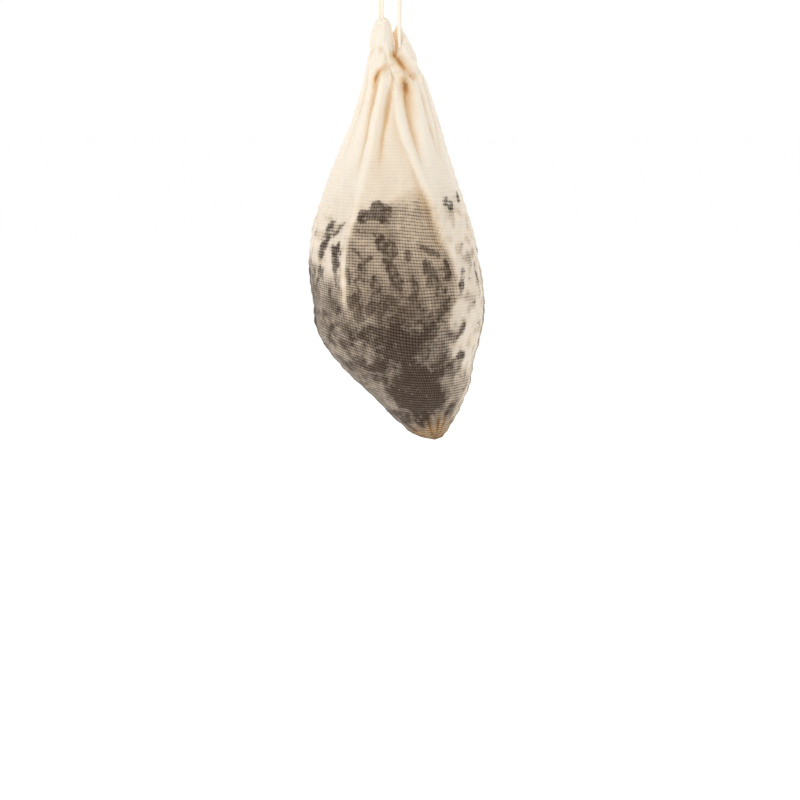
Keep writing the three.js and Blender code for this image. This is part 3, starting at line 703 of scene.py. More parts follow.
def smooth_values(points, at):
    """Smooth curve through (place, value, ...) rows: one array per value column."""
    table = np.array(points, float)
    places = table[:, 0]
    inside = np.clip(at, places[0], places[-1])
    i = np.clip(np.searchsorted(places, inside) - 1, 0, len(places) - 2)
    span = places[i + 1] - places[i]
    t = (inside - places[i]) / span
    found = []
    for column in table[:, 1:].T:
        slope = np.gradient(column, places)
        found.append(
            (2 * t**3 - 3 * t**2 + 1) * column[i] + (t**3 - 2 * t**2 + t) * span * slope[i]
            + (3 * t**2 - 2 * t**3) * column[i + 1] + (t**3 - t**2) * span * slope[i + 1])
    return found


def smoothstep(low, high, value):
    t = np.clip((value - low) / (high - low), 0, 1)
    return t * t * (3 - 2 * t)


def gathers(angle):
    """Uneven small gathers round the mouth, from -1 to 1."""
    phase = 19 * angle + 1.1 * np.sin(2 * angle + 0.6) + 0.9 * np.sin(5 * angle + 2.0)
    return np.cos(phase) * (0.75 + 0.25 * np.sin(3 * angle + 1.0))


def lumps(x, y, z, pitch, seed):
    """Smooth noise from about -1 to 1 at points in millimetres."""
    flat = [np.ravel(v) / pitch + seed for v in (x, y, z)]
    values = [noise.noise(Vector(p)) for p in zip(*flat)]
    return np.array(values).reshape(np.shape(x))


def fold_height(x, drop, line, spread, kind):
    """Height of one fold at points beside its line, by their distance from it."""
    height = np.zeros_like(x)
    nearest = np.full_like(x, 1e9)
    for (ax, ay, ah), (bx, by, bh) in zip(line, line[1:]):
        dx, dy = bx - ax, by - ay
        length = math.hypot(dx, dy)
        t = np.clip(((x - ax) * dx + (drop - ay) * dy) / length**2, 0, 1)
        off_x, off_y = x - ax - t * dx, drop - ay - t * dy
        distance = np.hypot(off_x, off_y)
        side = (dx * off_y - dy * off_x) / length
        reach = np.where(side > 0, spread[0], spread[1])
        size = ah + (bh - ah) * t
        if kind == "ridge":
            shape = np.exp(-(distance / reach) ** 2)
        elif kind == "crease":
            shape = -np.exp(-distance / reach)
        else:
            shape = np.tanh(-side / 0.38) * np.exp(-distance / reach)
        closer = distance < nearest
        nearest = np.where(closer, distance, nearest)
        height = np.where(closer, size * shape, height)
    return height


def rim_drop(angle):
    """Drop of the mouth's edge: high at the two ears, low in front and behind."""
    x = RIM_HALF * np.cos(angle)
    front = smooth_values(FRONT_RIM, x)[0]
    back = smooth_values(BACK_RIM, x)[0]
    return np.where(np.sin(angle) < 0, front, back)


def shown_in_front(angle):
    """1 where the cloth faces the front, 0 at its side edges and behind."""
    return smoothstep(0.02, 0.3, -np.sin(angle))


def folded(base_x, base_y, angle, drop):
    """Height of the chosen folds at each point, and how deep in one it lies."""
    places = {
        "front": (base_x, shown_in_front(angle)),
        "back": (base_x, shown_in_front(-angle)),
        "left": (base_y, smoothstep(0.3, 0.7, -np.cos(angle))),
        "right": (base_y, smoothstep(0.3, 0.7, np.cos(angle))),
    }
    out = np.zeros_like(base_x)
    valley = np.zeros_like(base_x)
    for side, kind, spread, line in FOLDS:
        across, weight = places[side]
        height = fold_height(across, drop, line, spread, kind) * weight
        out = out + height
        if kind != "ridge":
            valley = np.maximum(valley, -height)
    # a fold can go only so deep before it meets the cords or the cloth behind it
    room = FOLD_ROOM + NECK_FOLD_ROOM * smoothstep(33, 37, drop)
    return np.where(out < 0, -room * np.tanh(-out / room), out), valley


def gathered(base_x, base_y, angle, drop, below_rim):
    """Height of the gathers and small creases, and of the casing round its cords."""
    in_front = shown_in_front(angle)
    broad = gathers(angle) * (1 - smoothstep(30, 66, drop))
    out = broad * (GATHER_HEIGHT - GATHER_LESS_IN_FRONT * in_front)
    fine = np.cos(31 * angle + 2.2 * np.sin(3 * angle)) * (1 - smoothstep(8, 16, below_rim))
    fine = fine * (1 - 0.4 * in_front) * (0.6 + 0.4 * np.sin(below_rim * 0.9))
    creases = lumps(base_x, base_y, drop / 1.6, 1.5, CREASE_NOISE)
    creases = creases * (1 - smoothstep(6, 18, below_rim))
    out = out + FINE_GATHER_HEIGHT * fine + CREASE_HEIGHT * creases
    # the casing is puffed out round the cords and drawn in along its stitches
    share = np.clip(below_rim / CASING_HEIGHT, 0, 1)
    puff = np.sin(np.pi * np.minimum(share * 1.25, 1)) * (below_rim < CASING_HEIGHT)
    drawn_in = np.exp(-((below_rim - CASING_HEIGHT + 0.6) / 0.8) ** 2)
    return out + CASING_PUFF * puff - STITCH_DRAW * drawn_in


def seamed(angle, drop, half_width):
    """Height of the two side seams, which pinch the edge and pucker it."""
    out = 0.0
    for seam in (0.0, math.pi):
        arc = np.angle(np.exp(1j * (angle - seam))) * half_width
        pucker = np.cos(2 * np.pi * drop / SEAM_PUCKER_PITCH + 1.7 * np.sin(drop / 7))
        pucker = pucker * np.exp(-(arc / 2.2) ** 2)
        out = out + SEAM_HEIGHT * np.exp(-(arc / 0.9) ** 2) + SEAM_PUCKER * pucker
    return out * smoothstep(34, 60, drop)


def outer_point(angle, drop, below_rim):
    """The cloth's outside at an angle and a drop, and how deep in a fold it lies."""
    left, right, front, back = smooth_values(OUTLINE, drop)
    depth = np.where(np.sin(angle) < 0, front, back)
    half_width = (right - left) / 2
    base_x = (left + right) / 2 + half_width * np.cos(angle)
    base_y = depth * np.sin(angle)
    out, valley = folded(base_x, base_y, angle, drop)
    out = out + gathered(base_x, base_y, angle, drop, below_rim) + seamed(angle, drop, half_width)
    belly = smoothstep(50, 80, drop) * (1 - smoothstep(126, 135, drop))
    out = out + belly * BROAD_LUMP_HEIGHT * lumps(base_x, base_y, drop, 9.0, BROAD_LUMP_NOISE)
    out = out + (0.1 + 0.125 * belly) * lumps(base_x, base_y, drop, 3.6, SMALL_LUMP_NOISE)
    normal_x = np.cos(angle) * depth
    normal_y = np.sin(angle) * half_width
    size = np.hypot(normal_x, normal_y)
    x = base_x + out * normal_x / size
    y = base_y + out * normal_y / size
    return np.stack([x, y, -drop], axis=-1), valley


def inner_point(angle, drop):
    """The inner layer of the hem, round the narrow mouth."""
    left, right = smooth_values(MOUTH, drop)
    wide = (right - left) / 2 * (1 + 0.10 * np.cos(9 * angle))
    deep = np.where(np.sin(angle) < 0, -MOUTH_FRONT, MOUTH_BACK)
    x = (left + right) / 2 + wide * np.cos(angle)
    y = deep * np.sin(angle) * (1 + 0.10 * np.cos(11 * angle + 1))
    return np.stack([x, y, -drop], axis=-1)


def route_points(route, step):
    """Points along a smooth curve through a route, in millimetres, about a step apart."""
    points = np.array(route, float)
    padded = np.vstack([2 * points[0] - points[1], points, 2 * points[-1] - points[-2]])
    found = [points[0]]
    for a, b, c, d in zip(padded, padded[1:], padded[2:], padded[3:]):
        count = max(2, int(math.dist(b, c) / step))
        knots = [0.0]
        for p, q in ((a, b), (b, c), (c, d)):
            knots.append(knots[-1] + math.dist(p, q) ** 0.5)
        t0, t1, t2, t3 = knots
        for i in range(1, count + 1):
            t = t1 + (t2 - t1) * i / count
            ab = (t1 - t) / (t1 - t0) * a + (t - t0) / (t1 - t0) * b
            bc = (t2 - t) / (t2 - t1) * b + (t - t1) / (t2 - t1) * c
            cd = (t3 - t) / (t3 - t2) * c + (t - t2) / (t3 - t2) * d
            abc = (t2 - t) / (t2 - t0) * ab + (t - t0) / (t2 - t0) * bc
            bcd = (t3 - t) / (t3 - t1) * bc + (t - t1) / (t3 - t1) * cd
            found.append((t2 - t) / (t2 - t1) * abc + (t - t1) / (t2 - t1) * bcd)
    return np.array(found)


def clear_of_cords(points):
    """Pushes the hem out, smoothly, where a cord would show through it."""
    lines = np.vstack([route_points(r, 0.4) for r in (LEFT_ROUTE, RIGHT_ROUTE)])
    lines = lines[lines[:, 2] < -HEM_DROP]
    sizes = bpy.context.scene.tea_bag_sizes
    room = (sizes.cord_diameter / 2 + sizes.cloth_thickness) / MM + CORD_CLEARANCE
    outward = (points - [MOUTH_MIDDLE, 0.0, 0.0]) * [1, 1, 0]
    outward = outward / np.linalg.norm(outward, axis=2, keepdims=True)
    for _ in range(3):
        away = points[:, :, None, :] - lines[None, None, :, :]
        push = np.clip(room - np.linalg.norm(away, axis=3).min(axis=2), 0, None)
        for _ in range(4):
            spread = np.pad(push, ((1, 1), (0, 0)), mode="edge")
            beside = (np.roll(push, 1, axis=1) + np.roll(push, -1, axis=1)) / 2
            push = np.maximum(push, (spread[:-2] + spread[2:] + 2 * beside) / 4)
        points = points + outward * push[..., None]
    return points


def cloth_grid():
    """Points of the whole cloth, from the end of the hem inside to the low corner, in
    millimetres, and how deep in a fold each lies."""
    angle = -math.pi / 2 + 2 * math.pi * np.arange(COLUMNS + 1) / COLUMNS
    angle[-1] = angle[0]
    rim = rim_drop(angle)
    top = rim + DOME_RISE
    rows, valleys = [], []
    for i in range(HEM_ROWS):
        below = CASING_HEIGHT * (1 - i / HEM_ROWS)
        rows.append(inner_point(angle, top + below))
        # a fixed painted shade inside the hem
        valleys.append(np.full(COLUMNS + 1, 0.5))
    edge, edge_valley = outer_point(angle, top, np.zeros_like(angle))
    inside = inner_point(angle, top)
    crest = 1 + 0.22 * gathers(angle)
    for i in range(DOME_ROWS + 1):
        turn = math.pi * (1 - i / DOME_ROWS)
        share = (1 + math.cos(turn)) / 2
        row = inside * (1 - share) + edge * share
        row[:, 2] += DOME_RISE * math.sin(turn) * crest
        rows.append(row)
        valleys.append(edge_valley * share + 0.3 * (1 - share))
    for i in range(1, CASING_ROWS + 1):
        below = np.full(COLUMNS + 1, CASING_HEIGHT * i / CASING_ROWS)
        row, valley = outer_point(angle, top + below, below)
        rows.append(row)
        valleys.append(valley)
    start = top + CASING_HEIGHT
    neck = [start + NECK_HEIGHT * i / NECK_ROWS for i in range(1, NECK_ROWS + 1)]
    body = [
        neck[-1] + (TIP_DROP - neck[-1]) * i / BODY_ROWS for i in range(1, BODY_ROWS + 1)]
    for drop in neck + body:
        row, valley = outer_point(angle, drop, drop - top)
        rows.append(row)
        valleys.append(valley)
    points = np.array(rows)
    last = FIRST_OUTER_ROW + CASING_ROWS + NECK_ROWS
    points[DOME_TOP_ROW:last] = clear_of_cords(points[DOME_TOP_ROW:last])
    # the casing and the neck are evened out, and the belly is left as it is
    row = np.arange(len(points))
    share = smoothstep(HEM_ROWS, DOME_TOP_ROW, row) * (1 - smoothstep(last - 10, last + 10, row))
    ring = points[:, :-1]
    ring = ring + (blurred(ring, 4) - ring) * share[:, None, None]
    points = np.concatenate([ring, ring[:, :1]], axis=1)
    points[-1] = points[-1].mean(axis=0)
    # depth in the folds and hollows, which sets the painted shade and highlight
    valley = np.maximum(np.array(valleys) * 0.8, 1.2 * hollows(points))
    return points, valley


def blurred(ring, passes):
    """Mean of each value and its neighbours, round the bag and along it, taken again and again."""
    for _ in range(passes):
        beside = np.roll(ring, 1, axis=1) + np.roll(ring, -1, axis=1)
        above = np.concatenate([ring[:1], ring[:-1]]) + np.concatenate([ring[1:], ring[-1:]])
        ring = 0.4 * ring + 0.15 * (beside + above)
    return ring


def hollows(points):
    """How far each point lies inside the mean of the cloth round it, in millimetres. Where the
    cloth stands out instead, this is below zero."""
    ring = points[:, :-1]
    middle = ring.mean(axis=1, keepdims=True)
    reach = np.hypot(ring[..., 0] - middle[..., 0], ring[..., 1])
    hollow = blurred(reach, 110) - reach
    # inside the hem it is set evenly, for an even painted shade there
    hollow[:DOME_TOP_ROW] = 0.42
    return np.concatenate([hollow, hollow[:, :1]], axis=1)


def weave_places(points):
    """Where each point lies on the flat cloth, in metres across and down."""
    sizes = bpy.context.scene.tea_bag_sizes
    steps = np.linalg.norm(np.diff(points, axis=1), axis=2)
    run = np.concatenate([np.zeros((len(points), 1)), np.cumsum(steps, axis=1)], axis=1)
    total = np.maximum(run[:, -1:], 1e-6)
    across = run / total * sizes.girth
    drops = np.linspace(0, TIP_DROP + 1, 300)
    depth = smooth_values(OUTLINE, drops)[2]
    length = np.concatenate([[0], np.cumsum(np.hypot(np.diff(drops), np.diff(depth)))])
    drop = -points[..., 2]
    down = np.interp(drop, drops, length)
    x = points[..., 0]
    lean = math.tan(math.radians(ROW_LEAN)) * smoothstep(78, 104, drop)
    down = down + lean * np.logaddexp(0, (4 - x) / 3) * 3
    brow = math.tan(math.radians(ROW_BROW)) * smoothstep(60, 68, drop)
    brow = brow * (1 - smoothstep(78, 90, drop))
    down = down - brow * np.logaddexp(0, (x - 2) / 2) * 2
    # in the turned-in hem they run on from the rim
    rise = np.linalg.norm(np.diff(points[: FIRST_OUTER_ROW + 1], axis=0), axis=2)
    back_down = np.cumsum(rise[::-1], axis=0)[::-1]
    down[:FIRST_OUTER_ROW] = down[FIRST_OUTER_ROW] - back_down
    return across, down * MM


def deselect():
    if bpy.context.object and bpy.context.object.mode != "OBJECT":
        bpy.ops.object.mode_set(mode="OBJECT")
    bpy.ops.object.select_all(action="DESELECT")


def activate(piece):
    deselect()
    piece.select_set(True)
    bpy.context.view_layer.objects.active = piece


def apply_modifiers(piece):
    activate(piece)
    for modifier in list(piece.modifiers):
        bpy.ops.object.modifier_apply(modifier=modifier.name)


def surface_tree(points):
    """The outside of the cloth as a tree that rays can be cast at, in metres."""
    outer = points[FIRST_OUTER_ROW:, :-1] * MM
    rows, columns = outer.shape[:2]
    flat = [Vector(p) for p in outer.reshape(-1, 3)]
    faces = []
    for r in range(rows - 1):
        for c in range(columns):
            d = (c + 1) % columns
            a, b = r * columns, (r + 1) * columns
            faces.append((a + c, b + c, b + d, a + d))
    return BVHTree.FromPolygons(flat, faces)


def leaf_shapes():
    """Four leaf pieces of unit length, lying flat: whole, folded, twisted and broken."""
    shapes = []
    for kind in (WHOLE, FOLDED, TWISTED, BROKEN):
        deselect()
        bpy.ops.mesh.primitive_grid_add(x_subdivisions=8, y_subdivisions=4, size=1)
        leaf = bpy.context.object
        for v in leaf.data.vertices:
            along, across = 2 * v.co.x, 2 * v.co.y
            narrow = max(0.0, 1 - abs(along) ** (1.8 if kind == WHOLE else 2.2)) ** 0.6
            if kind == BROKEN:
                narrow = 0.8 - 0.15 * along + 0.1 * math.sin(9 * along)
            wave = 0.06 * math.sin(7 * along + 3 * kind) * across
            v.co.y = 0.5 * across * narrow + 0.05 * math.sin(5 * along + kind)
            v.co.z = -0.05 * along**2 + wave
            if kind == FOLDED:
                v.co.z -= 0.25 * abs(across) * narrow
            if kind == TWISTED:
                curl = 0.9 * across + 0.7 * along
                v.co.y = 0.34 * narrow * math.sin(curl)
                v.co.z = 0.2 * narrow * (math.cos(curl) - 1)
        thick = leaf.modifiers.new("thickness", "SOLIDIFY")
        thick.thickness = 0.05
        apply_modifiers(leaf)
        shapes.append(leaf.data.copy())
        bpy.data.objects.remove(leaf)
    return shapes


def leaf_matrix(hit, normal, length, width, turn, sunk):
    """Places a unit leaf under the cloth at a point, along a direction on the surface."""
    level = Vector((0, 0, 1)).cross(normal)
    if level.length < 1e-6:
        level = Vector((1, 0, 0))
    level.normalize()
    rising = normal.cross(level)
    along = level * math.cos(turn) - rising * math.sin(turn)
    across = normal.cross(along)
    turned = Matrix((along * length, across * width, normal * length * LEAF_HEIGHT)).transposed()
    return Matrix.Translation(hit - normal * sunk) @ turned.to_4x4()


def make_leaves(points):
    """All the leaf pieces under the cloth, as one object."""
    sizes = bpy.context.scene.tea_bag_sizes
    rng = random.Random(SEED)
    shapes = leaf_shapes()
    tree = surface_tree(points)
    heap = bmesh.new()
    thickness = sizes.cloth_thickness

    def lay(shape, matrix):
        first = len(heap.verts)
        heap.from_mesh(shape)
        heap.verts.ensure_lookup_table()
        bmesh.ops.transform(heap, matrix=matrix, verts=heap.verts[first:])

    def outward(hit, normal):
        middle = Vector((3 * MM, 0, hit.z))
        return normal if normal.dot(hit - middle) > 0 else -normal

    for i, (x, drop, length, turn, width) in enumerate(FRONT_LEAVES):
        hit, normal, _, _ = tree.ray_cast(Vector((x * MM, -0.1, -drop * MM)), Vector((0, 1, 0)))
        if hit is None:
            continue
        sunk = thickness + FRONT_DEPTH * MM
        matrix = leaf_matrix(
            hit, outward(hit, normal), length * MM, width * MM * 0.95, math.radians(turn), sunk)
        lay(shapes[FRONT_SHAPES[i % len(FRONT_SHAPES)]], matrix)
    placed = 0
    while placed < sizes.loose_leaves:
        drop = rng.triangular(*LOOSE_DROPS)
        around = rng.uniform(-math.pi, math.pi)
        x = 2 + 25 * math.cos(around)
        front = math.sin(around) < 0
        pale = np.interp(drop, *zip(*PALE_EDGE))
        in_pale = front and x > pale - 0.5
        # few leaves lie under the pale panel, and none above the tea's ragged top
        if in_pale and rng.random() < 0.6:
            continue
        if front and drop < 75 + 5 * rng.random():
            continue
        # single leaves don't show in the evenly soaked tea
        packed = np.interp(drop, *zip(*SOAKED_EDGE))
        if front and x < packed + 2 and (drop > 93 or rng.random() < 0.5):
            continue
        if not front and drop < 75 + 4 * math.sin(3 * around) + 3 * rng.random():
            continue
        # the ray goes from outside the bag to the middle of it, which leans to the low corner
        start = Vector((0.06 * math.cos(around), 0.06 * math.sin(around), -drop * MM))
        middle = Vector((np.interp(drop, [70, 110, 136], [1, 3, 12]) * MM, 0, -drop * MM))
        hit, normal, _, _ = tree.ray_cast(start, (middle - start).normalized())
        if hit is None:
            continue
        length = rng.uniform(*LOOSE_LENGTHS) * MM
        width = min(length * rng.uniform(*LOOSE_WIDTHS), LOOSE_WIDEST * MM)
        turn = rng.gauss(math.pi / 2, 0.6)
        sunk = thickness + rng.choice(PALE_DEPTHS if in_pale else LOOSE_DEPTHS) * MM
        matrix = leaf_matrix(hit, outward(hit, normal), length, width, turn, sunk)
        lay(shapes[rng.randrange(len(shapes))], matrix)
        placed += 1
    mesh = bpy.data.meshes.new("soaked_leaves")
    heap.to_mesh(mesh)
    heap.free()
    leaves = bpy.data.objects.new("soaked_leaves", mesh)
    bpy.context.collection.objects.link(leaves)
    for polygon in mesh.polygons:
        polygon.use_smooth = True
    for shape in shapes:
        bpy.data.meshes.remove(shape)
    return leaves


def make_mash():
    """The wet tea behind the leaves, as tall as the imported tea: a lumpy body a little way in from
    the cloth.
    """
    deselect()
    bpy.ops.mesh.primitive_uv_sphere_add(segments=72, ring_count=40, radius=1)
    mash = bpy.context.object
    mash.name = "packed_tea"
    low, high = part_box("tea_leaves")
    margin = 1.6  # millimetres in from the outline
    for v in mash.data.vertices:
        share = math.acos(max(-1, min(1, v.co.z))) / math.pi
        drop = (-high.z + (high.z - low.z) * share) / MM
        around = math.atan2(v.co.y, v.co.x)
        left, right, front, back = (float(c) for c in smooth_values(OUTLINE, np.array(drop)))
        depth = (front if math.sin(around) < 0 else back) - margin
        half = (right - left) / 2 - margin
        cap = min(1.0, 2.6 * math.sqrt(max(share * (1 - share), 0.0)))
        bump = 0.5 * noise.noise(Vector((math.cos(around) * 5, math.sin(around) * 5, drop / 4)))
        x = (left + right) / 2 + (max(half, 0.2) + bump) * cap * math.cos(around)
        y = (max(depth, 0.2) + bump) * cap * math.sin(around)
        v.co = Vector((x, y, -drop)) * MM
    activate(mash)
    bpy.ops.object.shade_smooth()
    return mash


def tea_contact(points, leaves):
    """Distance in millimetres from each point of the cloth's inside to the nearest leaf."""
    polygons = [tuple(p.vertices) for p in leaves.data.polygons]
    corners = [v.co.copy() for v in leaves.data.vertices]
    tree = BVHTree.FromPolygons(corners, polygons)
    far = 6.0  # no tea shows through from further in than this
    gap = np.full(points.shape[:2], far)
    thickness = bpy.context.scene.tea_bag_sizes.cloth_thickness / MM
    lifted = LIFTED_GAP * lifted_off(points)
    for r in range(FIRST_OUTER_ROW, len(points)):
        if -points[r, :, 2].max() < 55:
            continue
        for c in range(points.shape[1]):
            found = tree.find_nearest(Vector(points[r, c]) * MM, far * MM)
            if found[3] is not None:
                gap[r, c] = max(0.0, found[3] / MM - thickness) + lifted[r, c]
    return gap


def lifted_off(points):
    """Where the two long front folds hold the cloth away from the tea, from 0 to 1."""
    x, drop = points[..., 0], -points[..., 2]
    lift = np.zeros_like(x)
    for _, kind, _, line in FOLDS[:2]:
        full = [(a, b, 1.0) for a, b, _ in line]
        wide = (0.7, 0.7) if kind == "ridge" else (0.5, 1.6)
        end = 90 if kind == "ridge" else 77
        lasting = 1 - smoothstep(end, end + 7, drop)
        lift = np.maximum(lift, fold_height(x, drop, full, wide, "ridge") * lasting)
    return lift * smoothstep(0, 1, -points[..., 1] / 4)


class Places:
    """The points of the cloth, and where each lies among the wet and the pale regions."""

    def __init__(self, points):
        x, y, drop = points[..., 0], points[..., 1], -points[..., 2]
        self.x, self.y, self.drop = x, y, drop
        self.front = smoothstep(-0.5, 0.5, -y / 4)
        self.wobble = lumps(x, y, drop, 5.0, WOBBLE_NOISE)
        self.patches = lumps(x, y, drop, 2.6, PATCH_NOISE)
        # the edge of the pale right-hand panel, ragged further down
        edge = np.interp(drop, *zip(*PALE_EDGE)) + 1.6 * self.wobble * smoothstep(90, 96, drop)
        self.pale_edge = edge
        self.ragged_edge = edge + 2.2 * self.patches * smoothstep(82, 90, drop)
        # the wet middle panel, from the long ridge to that edge
        ridge = np.interp(drop, *zip(*LEFT_RIDGE))
        self.panel = smoothstep(-2.0, 2.0, x - ridge + 2 * self.patches) * smoothstep(
            -1.6, 1.6, self.ragged_edge - x)
        # the brown run beside the long fold, and the clearer cloth of the low corner
        beside = np.exp(-((x - edge + 2.0) / 3.0) ** 2) * (x < edge + 0.8)
        self.run = self.front * beside * smoothstep(60, 67, drop) * (1 - smoothstep(76, 86, drop))
        tip = smoothstep(127.0, 131.0, drop + 2.5 * self.wobble) * smoothstep(5, 9, x)
        self.tip = tip * (1 - 0.6 * smoothstep(14, 17, x))
        self.lifted = lifted_off(points)

    def drawn(self, lines):
        """How dark a set of drawn lines is, each with its width."""
        return np.maximum.reduce([
            fold_height(self.x, self.drop, line, (width, width), "ridge") for width, line in lines])


def soaked_share(at):
    """How much packed tea shows: low on the left, in the corner, in the hearts and behind."""
    x, drop = at.x, at.drop
    side = smoothstep(-3.0, 3.0, np.interp(drop, *zip(*SOAKED_EDGE)) - x + 2.5 * at.wobble)
    corner = smoothstep(110, 124, drop + 4 * at.wobble) * smoothstep(-1.5, 2.5, at.pale_edge - x)
    hearts = [
        dark * np.exp(-((x - middle) / wide) ** 2 - ((drop - low) / high) ** 2)
        for dark, middle, wide, low, high in DARK_HEARTS]
    low_panel = smoothstep(-1.5, 1.5, at.ragged_edge - x) * (
        0.35 * smoothstep(84, 97, drop + 5 * at.wobble)
        + 0.3 * smoothstep(97, 106, drop + 7 * at.patches))
    in_front = np.maximum.reduce([
        0.8 * side * smoothstep(80, 95, drop), 0.8 * corner, *hearts, low_panel])
    behind = smoothstep(86, 102, drop + 5 * at.wobble)
    soaked = at.front * in_front + (1 - at.front) * behind
    return soaked * (1 - 0.6 * at.tip) * (1 - 0.8 * at.lifted)


def damp_share(at):
    """How wet the cloth is: all of it in the middle panel, and less beside and above."""
    x, drop = at.x, at.drop
    beyond = 0.3 + 0.35 * smoothstep(0.0, 0.5, at.patches) * smoothstep(60, 70, drop)
    beyond = beyond + 0.3 * smoothstep(82, 96, drop) * (x < 0)
    start = 61 + 5 * smoothstep(6, -8, x)
    in_front = smoothstep(start, start + 8, drop + 3 * at.wobble)
    in_front = in_front * (at.panel + (1 - at.panel) * beyond)
    in_front = np.maximum(in_front, 0.7 * smoothstep(106, 118, drop + 4 * at.patches))
    behind = 0.75 * smoothstep(70, 84, drop + 6 * at.wobble)
    damp = at.front * in_front + (1 - at.front) * behind
    damp = np.maximum.reduce([damp, 0.3 * smoothstep(44, 72, drop), 0.75 * at.run])
    return damp * (1 - 0.7 * at.lifted)


def stain_share(at):
    """How brown the tea has stained the cloth, with painted shade added in the hollow above the
    tea.
    """
    x, drop = at.x, at.drop
    # painted shade in the hollow above the tea, between the two long folds
    hollow = smoothstep(-1.0, 1.0, x + 0.16 * (drop - 30) + 1.6) * smoothstep(34, 44, drop)
    hollow = hollow * smoothstep(-1.0, 1.0, 0.22 * (drop - 42) + 1.2 - x)
    hollow = hollow * (1 - smoothstep(62, 76, drop)) * at.front
    amber = at.front * at.panel * smoothstep(61, 68, drop) * (1 - smoothstep(92, 104, drop))
    return np.maximum.reduce([0.5 * at.run, 0.8 * at.tip, 0.22 * hollow, 0.3 * amber])


def fold_shade(at, valley):
    """How deep in a fold each point looks, in the neck and in the low corner, for the painted shade
    in the folds and in the drawn gaps. Where the cloth stands out, this is below zero, for a
    painted highlight."""
    deep = 0.75 * smoothstep(0.08, 1.1, valley) - smoothstep(0.05, 0.5, -valley)
    deep = deep + 0.3 * smoothstep(1.5, 2.3, valley)
    deep = np.maximum(deep, at.front * at.drawn(GAPS))
    return deep * np.maximum(1 - smoothstep(50, 76, at.drop), 1.2 * smoothstep(120, 127, at.drop))


def tea_veil(at):
    """How much further off than it is the tea looks, in millimetres: in streaks beside the
    middle panel. It looks nearer where dark tea was washed down."""
    beside = at.front * (1 - at.panel) * smoothstep(60, 66, at.drop)
    beside = beside * (1 - smoothstep(104, 112, at.drop))
    streaks = lumps(at.x * 1.6, at.y, at.drop * 0.5, 1.4, STREAK_NOISE)
    veil = beside * (0.6 * streaks + 0.15 * smoothstep(12, 16, at.x))
    return np.maximum(veil, 0) - 8 * at.front * at.drawn(WASHED_TEA)


def light_through(at, valley):
    """How strong the painted glow of daylight through the cloth is: a little in deep gathers, all
    of it in the mouth.
    """
    through = 0.16 * smoothstep(0.2, 1.4, valley) * (1 - smoothstep(36, 44, at.drop))
    through[: DOME_TOP_ROW - 1] = 1.0
    return through


def add_point_values(mesh, name, values):
    attribute = mesh.attributes.new(name, "FLOAT", "POINT")
    attribute.data.foreach_set("value", np.ascontiguousarray(values, np.float32).ravel())


def lifted_by_leaves(points, gap):
    """The points, moved out a little where leaves press on the cloth."""
    centre = points[:, :-1].mean(axis=1, keepdims=True)
    outward = (points - centre) * [1, 1, 0]
    outward = outward / np.maximum(np.linalg.norm(outward, axis=2, keepdims=True), 1e-6)
    lift = LEAF_LIFT * smoothstep(1.4, 0.2, gap)
    lift[-3:] = 0
    return points + outward * lift[..., None]


def make_cloth(points, valley, leaves):
    """Lays a fine flat grid of cloth, gives it the hanging shape and closes its side."""
    rows = len(points)
    at = Places(points)
    gap = np.maximum(tea_contact(points, leaves) + tea_veil(at), 0)
    across, down = weave_places(points)
    points = lifted_by_leaves(points, gap)
    deselect()
    bpy.ops.mesh.primitive_grid_add(x_subdivisions=COLUMNS, y_subdivisions=rows - 1, size=1)
    cloth = bpy.context.object
    cloth.name = "muslin_bag"
    mesh = cloth.data
    mesh.name = "muslin_bag"
    corner = np.zeros(len(mesh.vertices) * 3)
    mesh.vertices.foreach_get("co", corner)
    corner = corner.reshape(-1, 3)
    # the row and column of each corner of the grid, the first row being the hem's inner end
    column = np.rint((corner[:, 0] + 0.5) * COLUMNS).astype(int)
    row = np.rint((0.5 - corner[:, 1]) * (rows - 1)).astype(int)
    mesh.vertices.foreach_set("co", (points[row, column] * MM).ravel())
    # valley sets the painted shade in folds and the painted highlight on crests, and through sets
    # the painted glow
    marks = {
        "leaf_gap": gap, "soaked": soaked_share(at), "damp": damp_share(at),
        "stain": stain_share(at), "valley": fold_shade(at, valley),
        "through": light_through(at, valley)}
    for name, values in marks.items():
        add_point_values(mesh, name, values[row, column])
    loops = np.zeros(len(mesh.loops), int)
    mesh.loops.foreach_get("vertex_index", loops)
    weave = np.stack([across[row, column], down[row, column]], axis=1)[loops]
    while mesh.uv_layers:
        mesh.uv_layers.remove(mesh.uv_layers[0])
    layer = mesh.uv_layers.new(name="weave")
    layer.data.foreach_set("uv", weave.astype(np.float32).ravel())
    # the first and the last column meet, and the last row is one point
    activate(cloth)
    bpy.ops.object.mode_set(mode="EDIT")
    bpy.ops.mesh.select_all(action="SELECT")
    bpy.ops.mesh.remove_doubles(threshold=1e-7)
    bpy.ops.mesh.normals_make_consistent(inside=False)
    bpy.ops.object.mode_set(mode="OBJECT")
    thick = cloth.modifiers.new("thickness", "SOLIDIFY")
    thick.thickness = bpy.context.scene.tea_bag_sizes.cloth_thickness
    thick.offset = -1
    apply_modifiers(cloth)
    bpy.ops.object.shade_smooth()
    return cloth


